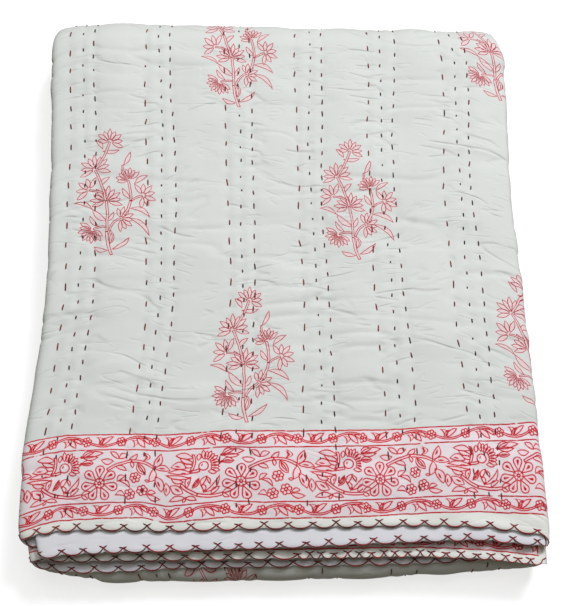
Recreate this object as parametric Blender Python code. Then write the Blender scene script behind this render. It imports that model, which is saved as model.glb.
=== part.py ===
"""A hand-quilted cotton bed quilt, folded in quarters across its width and in quarters along its
length, so that sixteen layers lie on each other.

The cloth is one solid. It is worked out as a flat cloth, u across and v along, that is folded
twice: first across, which makes a strip of four layers, and then the strip along its length.
Metres, +Z up, hems to the front (-Y), the origin under the middle of the folded quilt.
"""

import math

import bpy
import numpy as np

# The flat cloth
CLOTH_WIDTH = 2.286
CLOTH_LENGTH = 2.743
CLOTH_THICK = 0.0052
AIR = 0.0008  # between two layers that lie on each other
HEM_TAPER = 0.012  # the cloth thins over this far to its stitched edge
HEM_THICK = 0.62  # thickness at that edge, as a share

# The stack
LAYER_PITCH = CLOTH_THICK + AIR
STRIP_PITCH = 4 * LAYER_PITCH
STACK_HEIGHT = 4 * STRIP_PITCH

# The fold across: the strip's four layers, top to bottom, are 1 to 4
INNER_FOLD_INSET = 0.012  # the left fold of layers 2 and 3, inside that of layers 1 and 4
EDGE_INSET = {"layer 4": 0.012, "layer 3": 0.012}  # side edges, in from the right fold

# The fold along: how far back of the front fold each hem lies
TOP_HEM_BACK = 0.051
LOWER_HEM_BACK = 0.009

# How far the hem of each layer lies ahead of the top hem, as the folds lie askew
LEAD_PLACES = (-0.294, -0.250, -0.190, -0.130, 0.020, 0.150, 0.220, 0.260, 0.294)  # x
HEM_LEADS = {
    "layer 4": (0.0150, 0.0110, 0.0105, 0.0100, 0.0090, 0.0085, 0.0040, -0.0020, -0.0050),
    "layer 1": (0.0080, 0.0000, 0.0000, 0.0025, 0.0020, 0.0020, 0.0050, 0.0110, 0.0160),
    "layer 2": (0.0330, 0.0260, 0.0240, 0.0240, 0.0225, 0.0190, 0.0185, 0.0240, 0.0270),
    "layer 3": (0.0300, 0.0220, 0.0200, 0.0180, 0.0130, 0.0085, 0.0060, 0.0045, 0.0030),
}

# The two upper strips thin toward their hems, where the filling ends
#               behind the front of the pile, height as a share of the full one
STRIP_THINS = ((0.0, 0.66), (0.075, 0.92), (0.105, 1.0))

# Quilting: groups of three stitched rows, along the cloth; places across the top layer
ROW_GROUPS = (-0.2505, -0.1535, -0.0510, 0.0430, 0.1355, 0.2285)
ROWS_IN_GROUP = 3
ROW_PITCH = 0.0165
ROW_DEPTH = 0.0014
CREST_SHARE = 0.35  # depth of the crest between two rows of a group, as a share of a row's
ROW_SHOULDER = 0.013  # from a group's outer row to the full height of the cloth

# How the pile lies. Every layer has a station at each of these places across, which are places of
# the quilting above, and between them the pile is moved in straight lines, so that no layer is
# pushed into the next.
#             x, height lost, back edge drawn forward, foot of the front fold pushed back
PILE_ACROSS = (
    (-0.2940, 0.075, 0.002, 0.034),
    (-0.2670, 0.035, -0.004, 0.014),
    (-0.2210, 0.006, -0.004, 0.004),
    (-0.0805, 0.000, 0.001, 0.000),
    (0.0725, 0.000, 0.010, 0.000),
    (0.2120, 0.005, 0.014, 0.004),
    (0.2580, 0.025, 0.015, 0.009),
    (0.2940, 0.070, 0.016, 0.016),
)
#    y as a share of the length, left side drawn in, right side drawn in
SIDES_DRAWN_IN = (
    (-0.50, -0.002, -0.004),
    (-0.43, -0.0105, -0.003),
    (-0.36, -0.009, -0.0025),
    (-0.30, -0.008, -0.001),
    (-0.18, 0.001, 0.000),
    (-0.05, 0.010, 0.0035),
    (0.12, 0.0105, 0.0075),
    (0.24, 0.010, 0.007),
    (0.34, 0.007, 0.0035),
    (0.50, 0.004, 0.001),
)
CORNER_DRAWN_IN = 0.010
LOWER_INSETS = (0.020, 0.003)  # the lowest layers are this much narrower at the left and right
# Height as a share of the stack's, and how far the folds at the right of the hems stand out
FRONT_CORNER_OUT = (
    (0.0, 0.0), (0.50, 0.0), (0.62, 0.005), (0.74, 0.014), (0.82, 0.0135), (0.89, 0.003), (1.0, 0.0)
)

# Stations of the lattice
SIDE_FOLD_STEPS = {"outer left": 6, "right": 4, "inner left": 4}
BACK_FOLD_STEPS = 6  # both back folds, which lie one in the other
FRONT_FOLD_STEPS = 5
TOP_STATIONS = (0.075, 0.105, 0.16, 0.24, 0.33, 0.42, 0.51)  # behind the front of the pile
HIDDEN_SHARES = (0.3, 0.7)
LOWER_STATIONS = (0.40, 0.105, 0.075)

COTTON = (0.86, 0.88, 0.86, 1.0)
ROUGHNESS = 0.9


def smooth_step(value):
    """0 below 0, 1 above 1, and a smooth cubic between."""
    value = np.clip(value, 0.0, 1.0)
    return value * value * (3.0 - 2.0 * value)


def half_width():
    """Half the folded width, from the cloth's width and what the folds across take of it."""
    outer = 1.5 * LAYER_PITCH
    inner = 0.5 * LAYER_PITCH
    half_cloth = CLOTH_THICK / 2
    left_centre = outer + half_cloth
    right_centre = inner + half_cloth
    inner_centre = left_centre + INNER_FOLD_INSET
    shortfall = (
        (left_centre + EDGE_INSET["layer 4"])
        + (left_centre + right_centre)
        + (right_centre + inner_centre)
        + (inner_centre + EDGE_INSET["layer 3"])
    )
    arcs = math.pi * (outer + 2 * inner)
    return (CLOTH_WIDTH - arcs + shortfall) / 8


def folded_length():
    """The folded length, from the cloth's length and what the folds along take of it."""
    outer = 1.5 * STRIP_PITCH
    inner = 0.5 * STRIP_PITCH
    half_strip = STRIP_PITCH / 2 - AIR / 2
    back_centre = outer + half_strip
    front_centre = inner + half_strip
    shortfall = (
        (TOP_HEM_BACK + back_centre) + 2 * (back_centre + front_centre) + (back_centre + LOWER_HEM_BACK)
    )
    arcs = math.pi * (outer + 2 * inner)
    return (CLOTH_LENGTH - arcs + shortfall) / 4


HALF_WIDTH = half_width()
LENGTH = folded_length()
FRONT = -LENGTH / 2
TOP_HEM = FRONT + TOP_HEM_BACK
LOWER_HEM = FRONT + LOWER_HEM_BACK
BACK_CENTRE = LENGTH / 2 - 1.5 * STRIP_PITCH - STRIP_PITCH / 2 + AIR / 2
FRONT_CENTRE = FRONT + 0.5 * STRIP_PITCH + STRIP_PITCH / 2 - AIR / 2


def arc(centre, radius, start, end, steps):
    """Points along an arc, from one angle in degrees to another, without its first point."""
    angles = np.radians(np.linspace(start, end, steps + 1)[1:])
    return [(centre[0] + radius * math.cos(a), centre[1] + radius * math.sin(a)) for a in angles]


def top_layer_places():
    """Places across the top layer: each stitched row, the crests between, the shoulders beside."""
    places = []
    for group in ROW_GROUPS:
        first = group - ROW_PITCH * (ROWS_IN_GROUP - 1) / 2
        places.append((first - ROW_SHOULDER, 0.0))
        for row in range(ROWS_IN_GROUP):
            places.append((first + row * ROW_PITCH, ROW_DEPTH))
            if row < ROWS_IN_GROUP - 1:
                places.append((first + (row + 0.5) * ROW_PITCH, CREST_SHARE * ROW_DEPTH))
        places.append((first + (ROWS_IN_GROUP - 1) * ROW_PITCH + ROW_SHOULDER, 0.0))
    return places


def lead_at(layer, x):
    """How far a layer's hem lies ahead of the top hem, at a place across."""
    return np.interp(x, LEAD_PLACES, HEM_LEADS[layer])


def stations_across():
    """The cloth folded across, from one side edge to the other.

    Rows of x, height in the strip, hem lead and depth of the quilting. The path is layer 4 leftward,
    the outer left fold, layer 1 rightward, the right fold, layer 2 leftward, the inner left fold
    and layer 3 rightward, so the printed face is always on the left of the way it runs.
    """
    outer = 1.5 * LAYER_PITCH
    inner = 0.5 * LAYER_PITCH
    left = -HALF_WIDTH + outer + CLOTH_THICK / 2
    right = HALF_WIDTH - inner - CLOTH_THICK / 2
    inner_left = left + INNER_FOLD_INSET
    rows = []

    def lay(layer, places, height):
        for x in places:
            rows.append((x, height, lead_at(layer, x), 0.0))

    def turn(points, lead_start, lead_end):
        for step, (x, height) in enumerate(points):
            share = (step + 1) / len(points)
            rows.append((x, height, lead_start + (lead_end - lead_start) * share, 0.0))

    shared = [row[0] for row in PILE_ACROSS[1:-1]]
    lay("layer 4", [HALF_WIDTH - EDGE_INSET["layer 4"], *shared[::-1], left], -outer)
    fold = arc((left, 0.0), outer, 270, 90, SIDE_FOLD_STEPS["outer left"])
    turn(fold, lead_at("layer 4", left), lead_at("layer 1", left))
    for x, depth in top_layer_places():
        if x > left + ROW_SHOULDER / 2:
            rows.append((x, outer, lead_at("layer 1", x), depth))
    rows.append((right, outer, lead_at("layer 1", right), 0.0))
    fold = arc((right, LAYER_PITCH), inner, 90, -90, SIDE_FOLD_STEPS["right"])
    turn(fold, lead_at("layer 1", right), lead_at("layer 2", right))
    shared = [x for x in shared if x > inner_left + inner]
    lay("layer 2", [*shared[::-1], inner_left], inner)
    fold = arc((inner_left, 0.0), inner, 90, 270, SIDE_FOLD_STEPS["inner left"])
    turn(fold, lead_at("layer 2", inner_left), lead_at("layer 3", inner_left))
    lay("layer 3", [*shared, HALF_WIDTH - EDGE_INSET["layer 3"]], -inner)
    return np.array(rows)


def path_normals(points):
    """Mitred normals on the left of a path, longer at its corners so the wall keeps its thickness."""
    runs = np.diff(points, axis=0)
    runs /= np.linalg.norm(runs, axis=1)[:, None]
    sides = np.stack([-runs[:, 1], runs[:, 0]], axis=1)
    before = np.vstack([sides[:1], sides])
    after = np.vstack([sides, sides[-1:]])
    middle = before + after
    middle /= np.linalg.norm(middle, axis=1)[:, None]
    return middle / np.sum(middle * before, axis=1)[:, None]


def stations_along():
    """The strip folded along its length, from the top hem to the lower hem.

    Rows of y, z and the strip's normal y and z. The first and last two rows are at the hems, and
    move with each layer's lead.
    """
    outer = 1.5 * STRIP_PITCH
    inner = 0.5 * STRIP_PITCH
    levels = [(index + 0.5) * STRIP_PITCH - AIR / 2 for index in range(4)]
    middle = levels[1] + inner
    rows = []

    def run(start, end, shares, level, side):
        for share in shares:
            rows.append((start + (end - start) * share, level, 0.0, side))

    def turn(centre, radius, start, end, steps, outward):
        for angle in np.radians(np.linspace(start, end, steps + 1)):
            across, up = math.cos(angle), math.sin(angle)
            place = (centre[0] + radius * across, centre[1] + radius * up)
            rows.append((*place, outward * across, outward * up))

    for place in (TOP_HEM, TOP_HEM + HEM_TAPER, *(FRONT + place for place in TOP_STATIONS)):
        rows.append((place, levels[3], 0.0, 1.0))
    turn((BACK_CENTRE, middle), outer, 90, -90, BACK_FOLD_STEPS, 1.0)
    run(BACK_CENTRE, FRONT_CENTRE, HIDDEN_SHARES, levels[0], -1.0)
    turn((FRONT_CENTRE, levels[0] + inner), inner, 270, 90, FRONT_FOLD_STEPS, 1.0)
    run(FRONT_CENTRE, BACK_CENTRE, HIDDEN_SHARES, levels[1], 1.0)
    turn((BACK_CENTRE, middle), inner, -90, 90, BACK_FOLD_STEPS, -1.0)
    for place in (*(FRONT + place for place in LOWER_STATIONS), LOWER_HEM + HEM_TAPER, LOWER_HEM):
        rows.append((place, levels[2], 0.0, -1.0))
    return np.array(rows)


def lay_on_hems(y, z):
    """Lower what lies on the thinned hems: the two upper strips are pressed toward the fold below."""
    fold_top = 2 * STRIP_PITCH - AIR
    share = np.interp(y - FRONT, *zip(*STRIP_THINS))
    return np.where(z > fold_top, fold_top + (z - fold_top) * share, z)


def lay_on_floor(points):
    """Give the pile its uneven outline, by moving all of it together so that no two layers meet."""
    x, y, z = points[..., 0], points[..., 1], points[..., 2]
    fold_top = 2 * STRIP_PITCH - AIR
    across = x / (2 * HALF_WIDTH)
    along = y / LENGTH
    places, *columns = zip(*PILE_ACROSS)
    lost, forward, back = (np.interp(x, places, column) for column in columns)
    places, *sides = zip(*SIDES_DRAWN_IN)
    left, right = (np.interp(along, places, side) for side in sides)
    drawn = left * smooth_step(0.5 - 2 * across) - right * smooth_step(0.5 + 2 * across)
    corner = CORNER_DRAWN_IN * smooth_step((along - 0.40) / 0.10) * smooth_step(4 * across - 1)
    out = np.interp(z / STACK_HEIGHT, *zip(*FRONT_CORNER_OUT)) * smooth_step(4 * across - 1)
    corner = corner - out * smooth_step((-0.38 - along) / 0.08)
    low = np.where(across < 0, *LOWER_INSETS) * (1 - z / STACK_HEIGHT) * 2 * across
    forward = forward * smooth_step(2 * along)
    back = back * smooth_step(-4 * along - 1) * np.clip(1 - (z / fold_top) ** 2, 0.0, 1.0)
    height = lay_on_hems(y, z) * (1 - lost)
    return np.stack([x + drawn - corner - low, y - forward + back, height], axis=-1)


def cloth_face(printed):
    """One face of the folded cloth, as an array of station along, station across and x, y, z.

    Each point is half the cloth's thickness out from its middle, in the strip's section, less the
    depth of the quilting on the printed face. The section is then carried along the strip's path.
    """
    across = stations_across()
    along = stations_along()
    normals = path_normals(across[:, :2])
    last = len(along) - 1
    grid = np.empty((len(along), len(across), 3))
    for index, (y, z, normal_y, normal_z) in enumerate(along):
        on_floor = normal_z == -1.0 and z < STRIP_PITCH
        depth = across[:, 3] if printed and not on_floor else 0.0
        thickness = CLOTH_THICK * (HEM_THICK if index in (0, last) else 1.0)
        reach = (thickness / 2 - depth) if printed else -thickness / 2
        lead = -across[:, 2] if index < 2 else across[:, 2] if index > last - 2 else 0.0
        height = across[:, 1] + normals[:, 1] * reach
        grid[index, :, 0] = across[:, 0] + normals[:, 0] * reach
        grid[index, :, 1] = y + lead + height * normal_y
        grid[index, :, 2] = z + height * normal_z
    return lay_on_floor(grid)


def lattice_faces(rows, columns):
    """Faces of the printed side, of the reverse side turned over, and of the rim that joins them."""
    numbers = np.arange(2 * rows * columns).reshape(2, rows, columns)

    def quads(a, b, c, d):
        return np.stack([a, b, c, d], axis=-1).reshape(-1, 4).tolist()

    top, under = numbers
    faces = quads(top[:-1, :-1], top[:-1, 1:], top[1:, 1:], top[1:, :-1])
    faces += quads(under[:-1, :-1], under[1:, :-1], under[1:, 1:], under[:-1, 1:])
    ring_top = np.concatenate([top[0, :-1], top[:-1, -1], top[-1, :0:-1], top[:0:-1, 0]])
    ring_under = np.concatenate([under[0, :-1], under[:-1, -1], under[-1, :0:-1], under[:0:-1, 0]])
    next_top, next_under = np.roll(ring_top, -1), np.roll(ring_under, -1)
    return faces + quads(ring_under, next_under, next_top, ring_top)


def centre_on_floor(points):
    """Set the folded quilt on the floor, with its box centred over the origin."""
    low = points.reshape(-1, 3).min(axis=0)
    high = points.reshape(-1, 3).max(axis=0)
    middle = (low + high) / 2
    return points - np.array([middle[0], middle[1], low[2]])


def cotton():
    """Undyed cotton cloth."""
    material = bpy.data.materials.new("cotton")
    material.use_nodes = True
    shader = material.node_tree.nodes["Principled BSDF"]
    shader.inputs["Base Color"].default_value = COTTON
    shader.inputs["Roughness"].default_value = ROUGHNESS
    shader.inputs["Metallic"].default_value = 0.0
    return material


def build_quilt(collection):
    """The folded quilt, one closed cloth."""
    points = centre_on_floor(np.stack([cloth_face(True), cloth_face(False)]))
    rows, columns = points.shape[1:3]
    mesh = bpy.data.meshes.new("quilt")
    mesh.from_pydata(points.reshape(-1, 3).tolist(), [], lattice_faces(rows, columns))
    mesh.update()
    mesh.shade_smooth()
    mesh.materials.append(cotton())
    quilt = bpy.data.objects.new("quilt", mesh)
    collection.objects.link(quilt)


def main():
    for item in list(bpy.data.objects):
        bpy.data.objects.remove(item)
    collection = bpy.data.collections.new("kantha quilt")
    bpy.context.scene.collection.children.link(collection)
    build_quilt(collection)


main()
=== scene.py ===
"""The looks of a folded kantha quilt: its quilted cotton, its block print and its sewing.

Metres, +Z up, hems to the front (-Y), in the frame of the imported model.
"""

import math

import bpy
import numpy as np
from mathutils import Matrix, Vector


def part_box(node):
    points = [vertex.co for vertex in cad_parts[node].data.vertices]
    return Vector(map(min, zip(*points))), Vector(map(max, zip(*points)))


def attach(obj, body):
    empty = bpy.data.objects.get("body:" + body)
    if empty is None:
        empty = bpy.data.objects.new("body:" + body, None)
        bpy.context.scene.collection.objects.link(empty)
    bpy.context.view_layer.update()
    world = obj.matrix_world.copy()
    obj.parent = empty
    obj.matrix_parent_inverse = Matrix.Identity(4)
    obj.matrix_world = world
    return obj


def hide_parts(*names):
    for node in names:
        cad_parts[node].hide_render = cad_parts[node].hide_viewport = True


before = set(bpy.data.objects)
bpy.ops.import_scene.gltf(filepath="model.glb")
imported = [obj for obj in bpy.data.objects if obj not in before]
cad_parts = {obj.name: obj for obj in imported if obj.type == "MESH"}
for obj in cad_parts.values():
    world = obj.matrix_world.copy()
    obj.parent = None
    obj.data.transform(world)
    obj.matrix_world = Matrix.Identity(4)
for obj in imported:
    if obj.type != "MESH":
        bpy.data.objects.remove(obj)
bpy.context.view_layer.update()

# ----------------------------------------------------------------------------------------------
# The folded cloth. Two faces of thin cotton lie on a thin filling. The quilt is folded in
# quarters across, which makes a strip of four layers, and then in quarters along. All that
# follows is placed by its distances across (u) and along (v) the flat cloth.
# ----------------------------------------------------------------------------------------------
CLOTH_WIDTH, CLOTH_LENGTH, CLOTH_THICK = 2.286, 2.743, 0.0052
AIR = 0.0008  # between two layers that lie on each other
LAYER_PITCH = CLOTH_THICK + AIR
STRIP_PITCH = 4 * LAYER_PITCH
STACK_HEIGHT = 4 * STRIP_PITCH
OUTER_TURN, INNER_TURN = 1.5, 0.5  # radii of the folds, in layers or in strips
INNER_FOLD_INSET = 0.012
EDGE_INSET_4, EDGE_INSET_3 = 0.012, 0.012  # side edges of layers 4 and 3, in from the right
TOP_HEM_BACK, LOWER_HEM_BACK = 0.051, 0.009  # hems, behind the front fold
TURN_POINTS = 33

# How far the hem of each layer lies ahead of the top hem
LEAD_PLACES = (-0.294, -0.250, -0.190, -0.130, 0.020, 0.150, 0.220, 0.260, 0.294)  # x
HEM_LEADS = (
    (0.0150, 0.0110, 0.0105, 0.0100, 0.0090, 0.0085, 0.0040, -0.0020, -0.0050),  # layer 4
    (0.0080, 0.0000, 0.0000, 0.0025, 0.0020, 0.0020, 0.0050, 0.0110, 0.0160),  # layer 1
    (0.0330, 0.0260, 0.0240, 0.0240, 0.0225, 0.0190, 0.0185, 0.0240, 0.0270),  # layer 2
    (0.0300, 0.0220, 0.0200, 0.0180, 0.0130, 0.0085, 0.0060, 0.0045, 0.0030),  # layer 3
)

# The pile lies unevenly. y behind the front and height as a share of the full one
STRIP_THINS = ((0.0, 0.66), (0.075, 0.92), (0.105, 1.0))
# x, height lost, back edge drawn forward, foot of the front fold pushed back
PILE_ACROSS = (
    (-0.2940, 0.075, 0.002, 0.034),
    (-0.2670, 0.035, -0.004, 0.014),
    (-0.2210, 0.006, -0.004, 0.004),
    (-0.0805, 0.000, 0.001, 0.000),
    (0.0725, 0.000, 0.010, 0.000),
    (0.2120, 0.005, 0.014, 0.004),
    (0.2580, 0.025, 0.015, 0.009),
    (0.2940, 0.070, 0.016, 0.016),
)
# y as a share of the length, left side drawn in, right side drawn in
SIDES_DRAWN_IN = (
    (-0.50, -0.002, -0.004),
    (-0.43, -0.0105, -0.003),
    (-0.36, -0.009, -0.0025),
    (-0.30, -0.008, -0.001),
    (-0.18, 0.001, 0.000),
    (-0.05, 0.010, 0.0035),
    (0.12, 0.0105, 0.0075),
    (0.24, 0.010, 0.007),
    (0.34, 0.007, 0.0035),
    (0.50, 0.004, 0.001),
)
CORNER_DRAWN_IN = 0.010  # of the back corner at the right
BACK_CORNER, FRONT_CORNER = (0.40, 0.10), (0.38, 0.08)  # shares of the length: from, and over
LOWER_INSETS = (0.020, 0.003)  # the lowest layers are this much narrower at the left and right
# Height as a share of the stack's, and how far the folds at the right of the hems stand out
FRONT_CORNER_OUT = (
    (0.0, 0.0), (0.50, 0.0), (0.62, 0.005), (0.74, 0.014), (0.82, 0.0135), (0.89, 0.003), (1.0, 0.0)
)


def smooth_step(value):
    """0 below 0, 1 above 1, and a smooth cubic between."""
    value = np.clip(value, 0.0, 1.0)
    return value * value * (3.0 - 2.0 * value)


def run(start, end, facing):
    """A straight run of cloth: its ends, and the angle in degrees that its printed side faces."""
    return np.array([(*start, facing), (*end, facing)])


def turn(centre, radius, start, end, facing_shift=0.0):
    """A round fold, between two angles. The printed side faces along the angle plus a shift."""
    angles = np.linspace(start, end, TURN_POINTS)
    bearing = np.radians(angles)
    first = centre[0] + radius * np.cos(bearing)
    second = centre[1] + radius * np.sin(bearing)
    return np.stack([first, second, angles + facing_shift], axis=1)


def folded_path(pieces, starts_at=0.0):
    """A section of the cloth: distance along it, two coordinates, facing, and its pieces' ends."""
    points = np.vstack(pieces)
    steps = np.linalg.norm(np.diff(points[:, :2], axis=0), axis=1)
    distance = starts_at + np.concatenate([[0.0], np.cumsum(steps)])
    ends = distance[np.cumsum([len(piece) for piece in pieces]) - 1]
    return distance, points[:, 0], points[:, 1], np.radians(points[:, 2]), ends


HALF_THICK = CLOTH_THICK / 2
OUTER, INNER = OUTER_TURN * LAYER_PITCH, INNER_TURN * LAYER_PITCH
ARCS_ACROSS = math.pi * (OUTER + 2 * INNER)
LEFT_REACH = OUTER + HALF_THICK  # from the outside of the pile to a fold's centre
RIGHT_REACH = INNER + HALF_THICK
INNER_REACH = LEFT_REACH + INNER_FOLD_INSET
SPENT_ACROSS = 2 * (LEFT_REACH + RIGHT_REACH + INNER_REACH) + EDGE_INSET_4 + EDGE_INSET_3
HALF_WIDTH = (CLOTH_WIDTH - ARCS_ACROSS + SPENT_ACROSS) / 8
LEFT, RIGHT = -HALF_WIDTH + LEFT_REACH, HALF_WIDTH - RIGHT_REACH
INNER_LEFT = -HALF_WIDTH + INNER_REACH
ACROSS = folded_path((
    run((HALF_WIDTH - EDGE_INSET_4, -OUTER), (LEFT, -OUTER), 270),
    turn((LEFT, 0.0), OUTER, 270, 90),
    run((LEFT, OUTER), (RIGHT, OUTER), 90),
    turn((RIGHT, LAYER_PITCH), INNER, 90, -90),
    run((RIGHT, INNER), (INNER_LEFT, INNER), -90),
    turn((INNER_LEFT, 0.0), INNER, 90, 270, -180),
    run((INNER_LEFT, -INNER), (HALF_WIDTH - EDGE_INSET_3, -INNER), 90),
))
LAYER_4_END, TOP_START, TOP_END, LAYER_2_START, LAYER_2_END, LAYER_3_START, _ = ACROSS[4]

OUTER_STRIP, INNER_STRIP = OUTER_TURN * STRIP_PITCH, INNER_TURN * STRIP_PITCH
ARCS_ALONG = math.pi * (OUTER_STRIP + 2 * INNER_STRIP)
HALF_STRIP = STRIP_PITCH / 2 - AIR / 2
BACK_REACH, FRONT_REACH = OUTER_STRIP + HALF_STRIP, INNER_STRIP + HALF_STRIP
SPENT_ALONG = TOP_HEM_BACK + 4 * BACK_REACH + 2 * FRONT_REACH + LOWER_HEM_BACK
LENGTH = (CLOTH_LENGTH - ARCS_ALONG + SPENT_ALONG) / 4
FRONT = -LENGTH / 2
BACK_CENTRE, FRONT_CENTRE = LENGTH / 2 - BACK_REACH, FRONT + FRONT_REACH
LEVEL_4, LEVEL_3, LEVEL_2, LEVEL_1 = ((index + 0.5) * STRIP_PITCH - AIR / 2 for index in range(4))
MIDDLE = (LEVEL_3 + LEVEL_2) / 2
SPARE = 0.05  # both ends of the path run on, for the layers that lead
ALONG = folded_path((
    run((FRONT + TOP_HEM_BACK - SPARE, LEVEL_1), (BACK_CENTRE, LEVEL_1), 90),
    turn((BACK_CENTRE, MIDDLE), OUTER_STRIP, 90, -90),
    run((BACK_CENTRE, LEVEL_4), (FRONT_CENTRE, LEVEL_4), -90),
    turn((FRONT_CENTRE, LEVEL_4 + INNER_STRIP), INNER_STRIP, 270, 90, -360),
    run((FRONT_CENTRE, LEVEL_3), (BACK_CENTRE, LEVEL_3), -270),
    turn((BACK_CENTRE, MIDDLE), INNER_STRIP, -90, 90, -180),
    run((BACK_CENTRE, LEVEL_2), (FRONT + LOWER_HEM_BACK - SPARE, LEVEL_2), -90),
), -SPARE)
BACK_START, BACK_END, FRONT_START, FRONT_END, INNER_START, INNER_END, _ = ALONG[4]

LAYER_RUNS = (
    (0.0, LAYER_4_END),
    (TOP_START, TOP_END),
    (LAYER_2_START, LAYER_2_END),
    (LAYER_3_START, CLOTH_WIDTH),
)
LEAD_SAMPLES = 31
LEAD_AT = np.concatenate([np.linspace(*ends, LEAD_SAMPLES) for ends in LAYER_RUNS])
LEADS = np.concatenate([
    np.interp(np.interp(np.linspace(*ends, LEAD_SAMPLES), ACROSS[0], ACROSS[1]), LEAD_PLACES, leads)
    for ends, leads in zip(LAYER_RUNS, HEM_LEADS)
])


def hem_lead(u):
    """How far the cloth has slipped forward at a place across it."""
    return np.interp(u, LEAD_AT, LEADS)


def lay_on_floor(x, y, z):
    """The pile's uneven outline, by moving all of it together so that no two layers meet."""
    fold_top = 2 * STRIP_PITCH - AIR
    share = np.interp(y - FRONT, *zip(*STRIP_THINS))
    settled = np.where(z > fold_top, fold_top + (z - fold_top) * share, z)
    across, along = x / (2 * HALF_WIDTH), y / LENGTH
    places, *columns = zip(*PILE_ACROSS)
    lost, forward, back = (np.interp(x, places, column) for column in columns)
    places, *sides = zip(*SIDES_DRAWN_IN)
    left, right = (np.interp(along, places, side) for side in sides)
    drawn = left * smooth_step(0.5 - 2 * across) - right * smooth_step(0.5 + 2 * across)
    corner = CORNER_DRAWN_IN * smooth_step((along - BACK_CORNER[0]) / BACK_CORNER[1])
    out = np.interp(z / STACK_HEIGHT, *zip(*FRONT_CORNER_OUT))
    corner = corner - out * smooth_step((-along - FRONT_CORNER[0]) / FRONT_CORNER[1])
    corner = corner * smooth_step(4 * across - 1)
    low = np.where(across < 0, *LOWER_INSETS) * (1 - z / STACK_HEIGHT) * 2 * across
    forward = forward * smooth_step(2 * along)
    back = back * smooth_step(-4 * along - 1) * np.clip(1 - (z / fold_top) ** 2, 0.0, 1.0)
    return np.stack([x + drawn - corner - low, y - forward + back, settled * (1 - lost)], axis=-1)


def folded(u, v, height):
    """Where a point of the flat cloth lies: u across, v along, and its height off the middle of
    the cloth towards the printed side. The height is first laid off in the strip's section, and
    that section is then carried along the strip's path."""
    u, v, height = np.broadcast_arrays(u, v, height)
    facing = np.interp(u, ACROSS[0], ACROSS[3])
    x = np.interp(u, ACROSS[0], ACROSS[1]) + np.cos(facing) * height
    side = np.interp(u, ACROSS[0], ACROSS[2]) + np.sin(facing) * height
    way = v - hem_lead(u)
    strip_facing = np.interp(way, ALONG[0], ALONG[3])
    y = np.interp(way, ALONG[0], ALONG[1]) + np.cos(strip_facing) * side
    z = np.interp(way, ALONG[0], ALONG[2]) + np.sin(strip_facing) * side
    return lay_on_floor(x, y, z)


BOX_SAMPLES = 1200, 1400  # across and along


def frame_shift():
    """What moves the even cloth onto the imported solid, by their boxes' middles and the floor."""
    sizes = CLOTH_WIDTH, CLOTH_LENGTH
    u, v = np.meshgrid(*(np.linspace(0, size, count) for size, count in zip(sizes, BOX_SAMPLES)))
    even = np.concatenate([folded(u, v, side).reshape(-1, 3) for side in (HALF_THICK, -HALF_THICK)])
    middle = (even.min(axis=0) + even.max(axis=0)) / 2
    low, high = (np.array(corner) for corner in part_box("quilt"))
    target = (low + high) / 2
    return np.array([target[0] - middle[0], target[1] - middle[1], low[2] - even[:, 2].min()])


SHIFT = frame_shift()


def on_cloth(u, v, height):
    """A point of the flat cloth where it lies in the frame."""
    return folded(u, v, height) + SHIFT


# ----------------------------------------------------------------------------------------------
# The quilting. Groups of three rows of running stitch go along the cloth through both faces.
# Each stitch pulls the cloth down, the rows gather it a little, and soft puckers run across
# from row to row.
# ----------------------------------------------------------------------------------------------
TOP_GROUPS = (-0.2505, -0.1535, -0.0510, 0.0430, 0.1355, 0.2285)  # x of the groups on the top layer
GROUP_PITCH, ROW_PITCH = 0.098, 0.0165
ROW_OFFSETS = (-0.0175, 0.0, 0.0152)
SIDE_CLEAR = 0.035
# Of the left, middle and right row of a group
STITCH_PITCHES, STITCH_LENGTHS = (0.0258, 0.0204, 0.0190), (0.0086, 0.0050, 0.0070)
STITCH_VARIES, LENGTH_VARIES = 0.0026, (0.75, 1.2)
DOT_SHARES, DOT_HALF = (0.02, 0.14, 0.02), 0.0012  # share of stitches that are mere dots
FIRST_STITCH, LAST_STITCH = 0.004, 0.010  # in from the hems
# How the rows stray sideways: reach, turns along the cloth, and phase. The first goes by the group
WANDERS = ((0.0012, 7.0, 0.9), (0.0013, 13.0, 1.7), (0.0008, 29.0, 2.9))
GROUP_PHASE = 0.6
GROOVE_DEPTH, STITCH_DEPTH = 0.00025, 0.0013
DEEPEST = 0.0024
GROOVE_REACH, STITCH_REACH = 0.0045, 0.0045
CROWN, CROWN_REACH = 0.0012, 0.030  # of the plain stretch between two groups
CREASE_DEPTH, CREASE_LONG, CREASE_WIDE, CREASE_SHARP = 0.0017, 0.075, 0.021, 0.20
CREASE_FAINTEST, PATCH_LONG, PATCH_WIDE = 0.30, 0.080, 0.050
SWELL, SWELL_LONG, SWELL_WIDE = 0.0012, 0.055, 0.022
BOW, BOW_LONG, BOW_WIDE = 0.010, 0.16, 0.20
LATTICE, LATTICE_START = (97, 89), 40
ROW_SEED = 700  # of the random draws for the first row

# u of each group
TOP_GROUP_PLACES = np.array(TOP_GROUPS) - LEFT + TOP_START
GROUPS = np.concatenate([
    np.arange(TOP_GROUP_PLACES[0] - GROUP_PITCH, SIDE_CLEAR, -GROUP_PITCH)[::-1],
    TOP_GROUP_PLACES,
    np.arange(TOP_GROUP_PLACES[-1] + GROUP_PITCH, CLOTH_WIDTH - SIDE_CLEAR, GROUP_PITCH),
])
ROWS = (GROUPS[:, None] + np.array(ROW_OFFSETS)).ravel()


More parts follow.
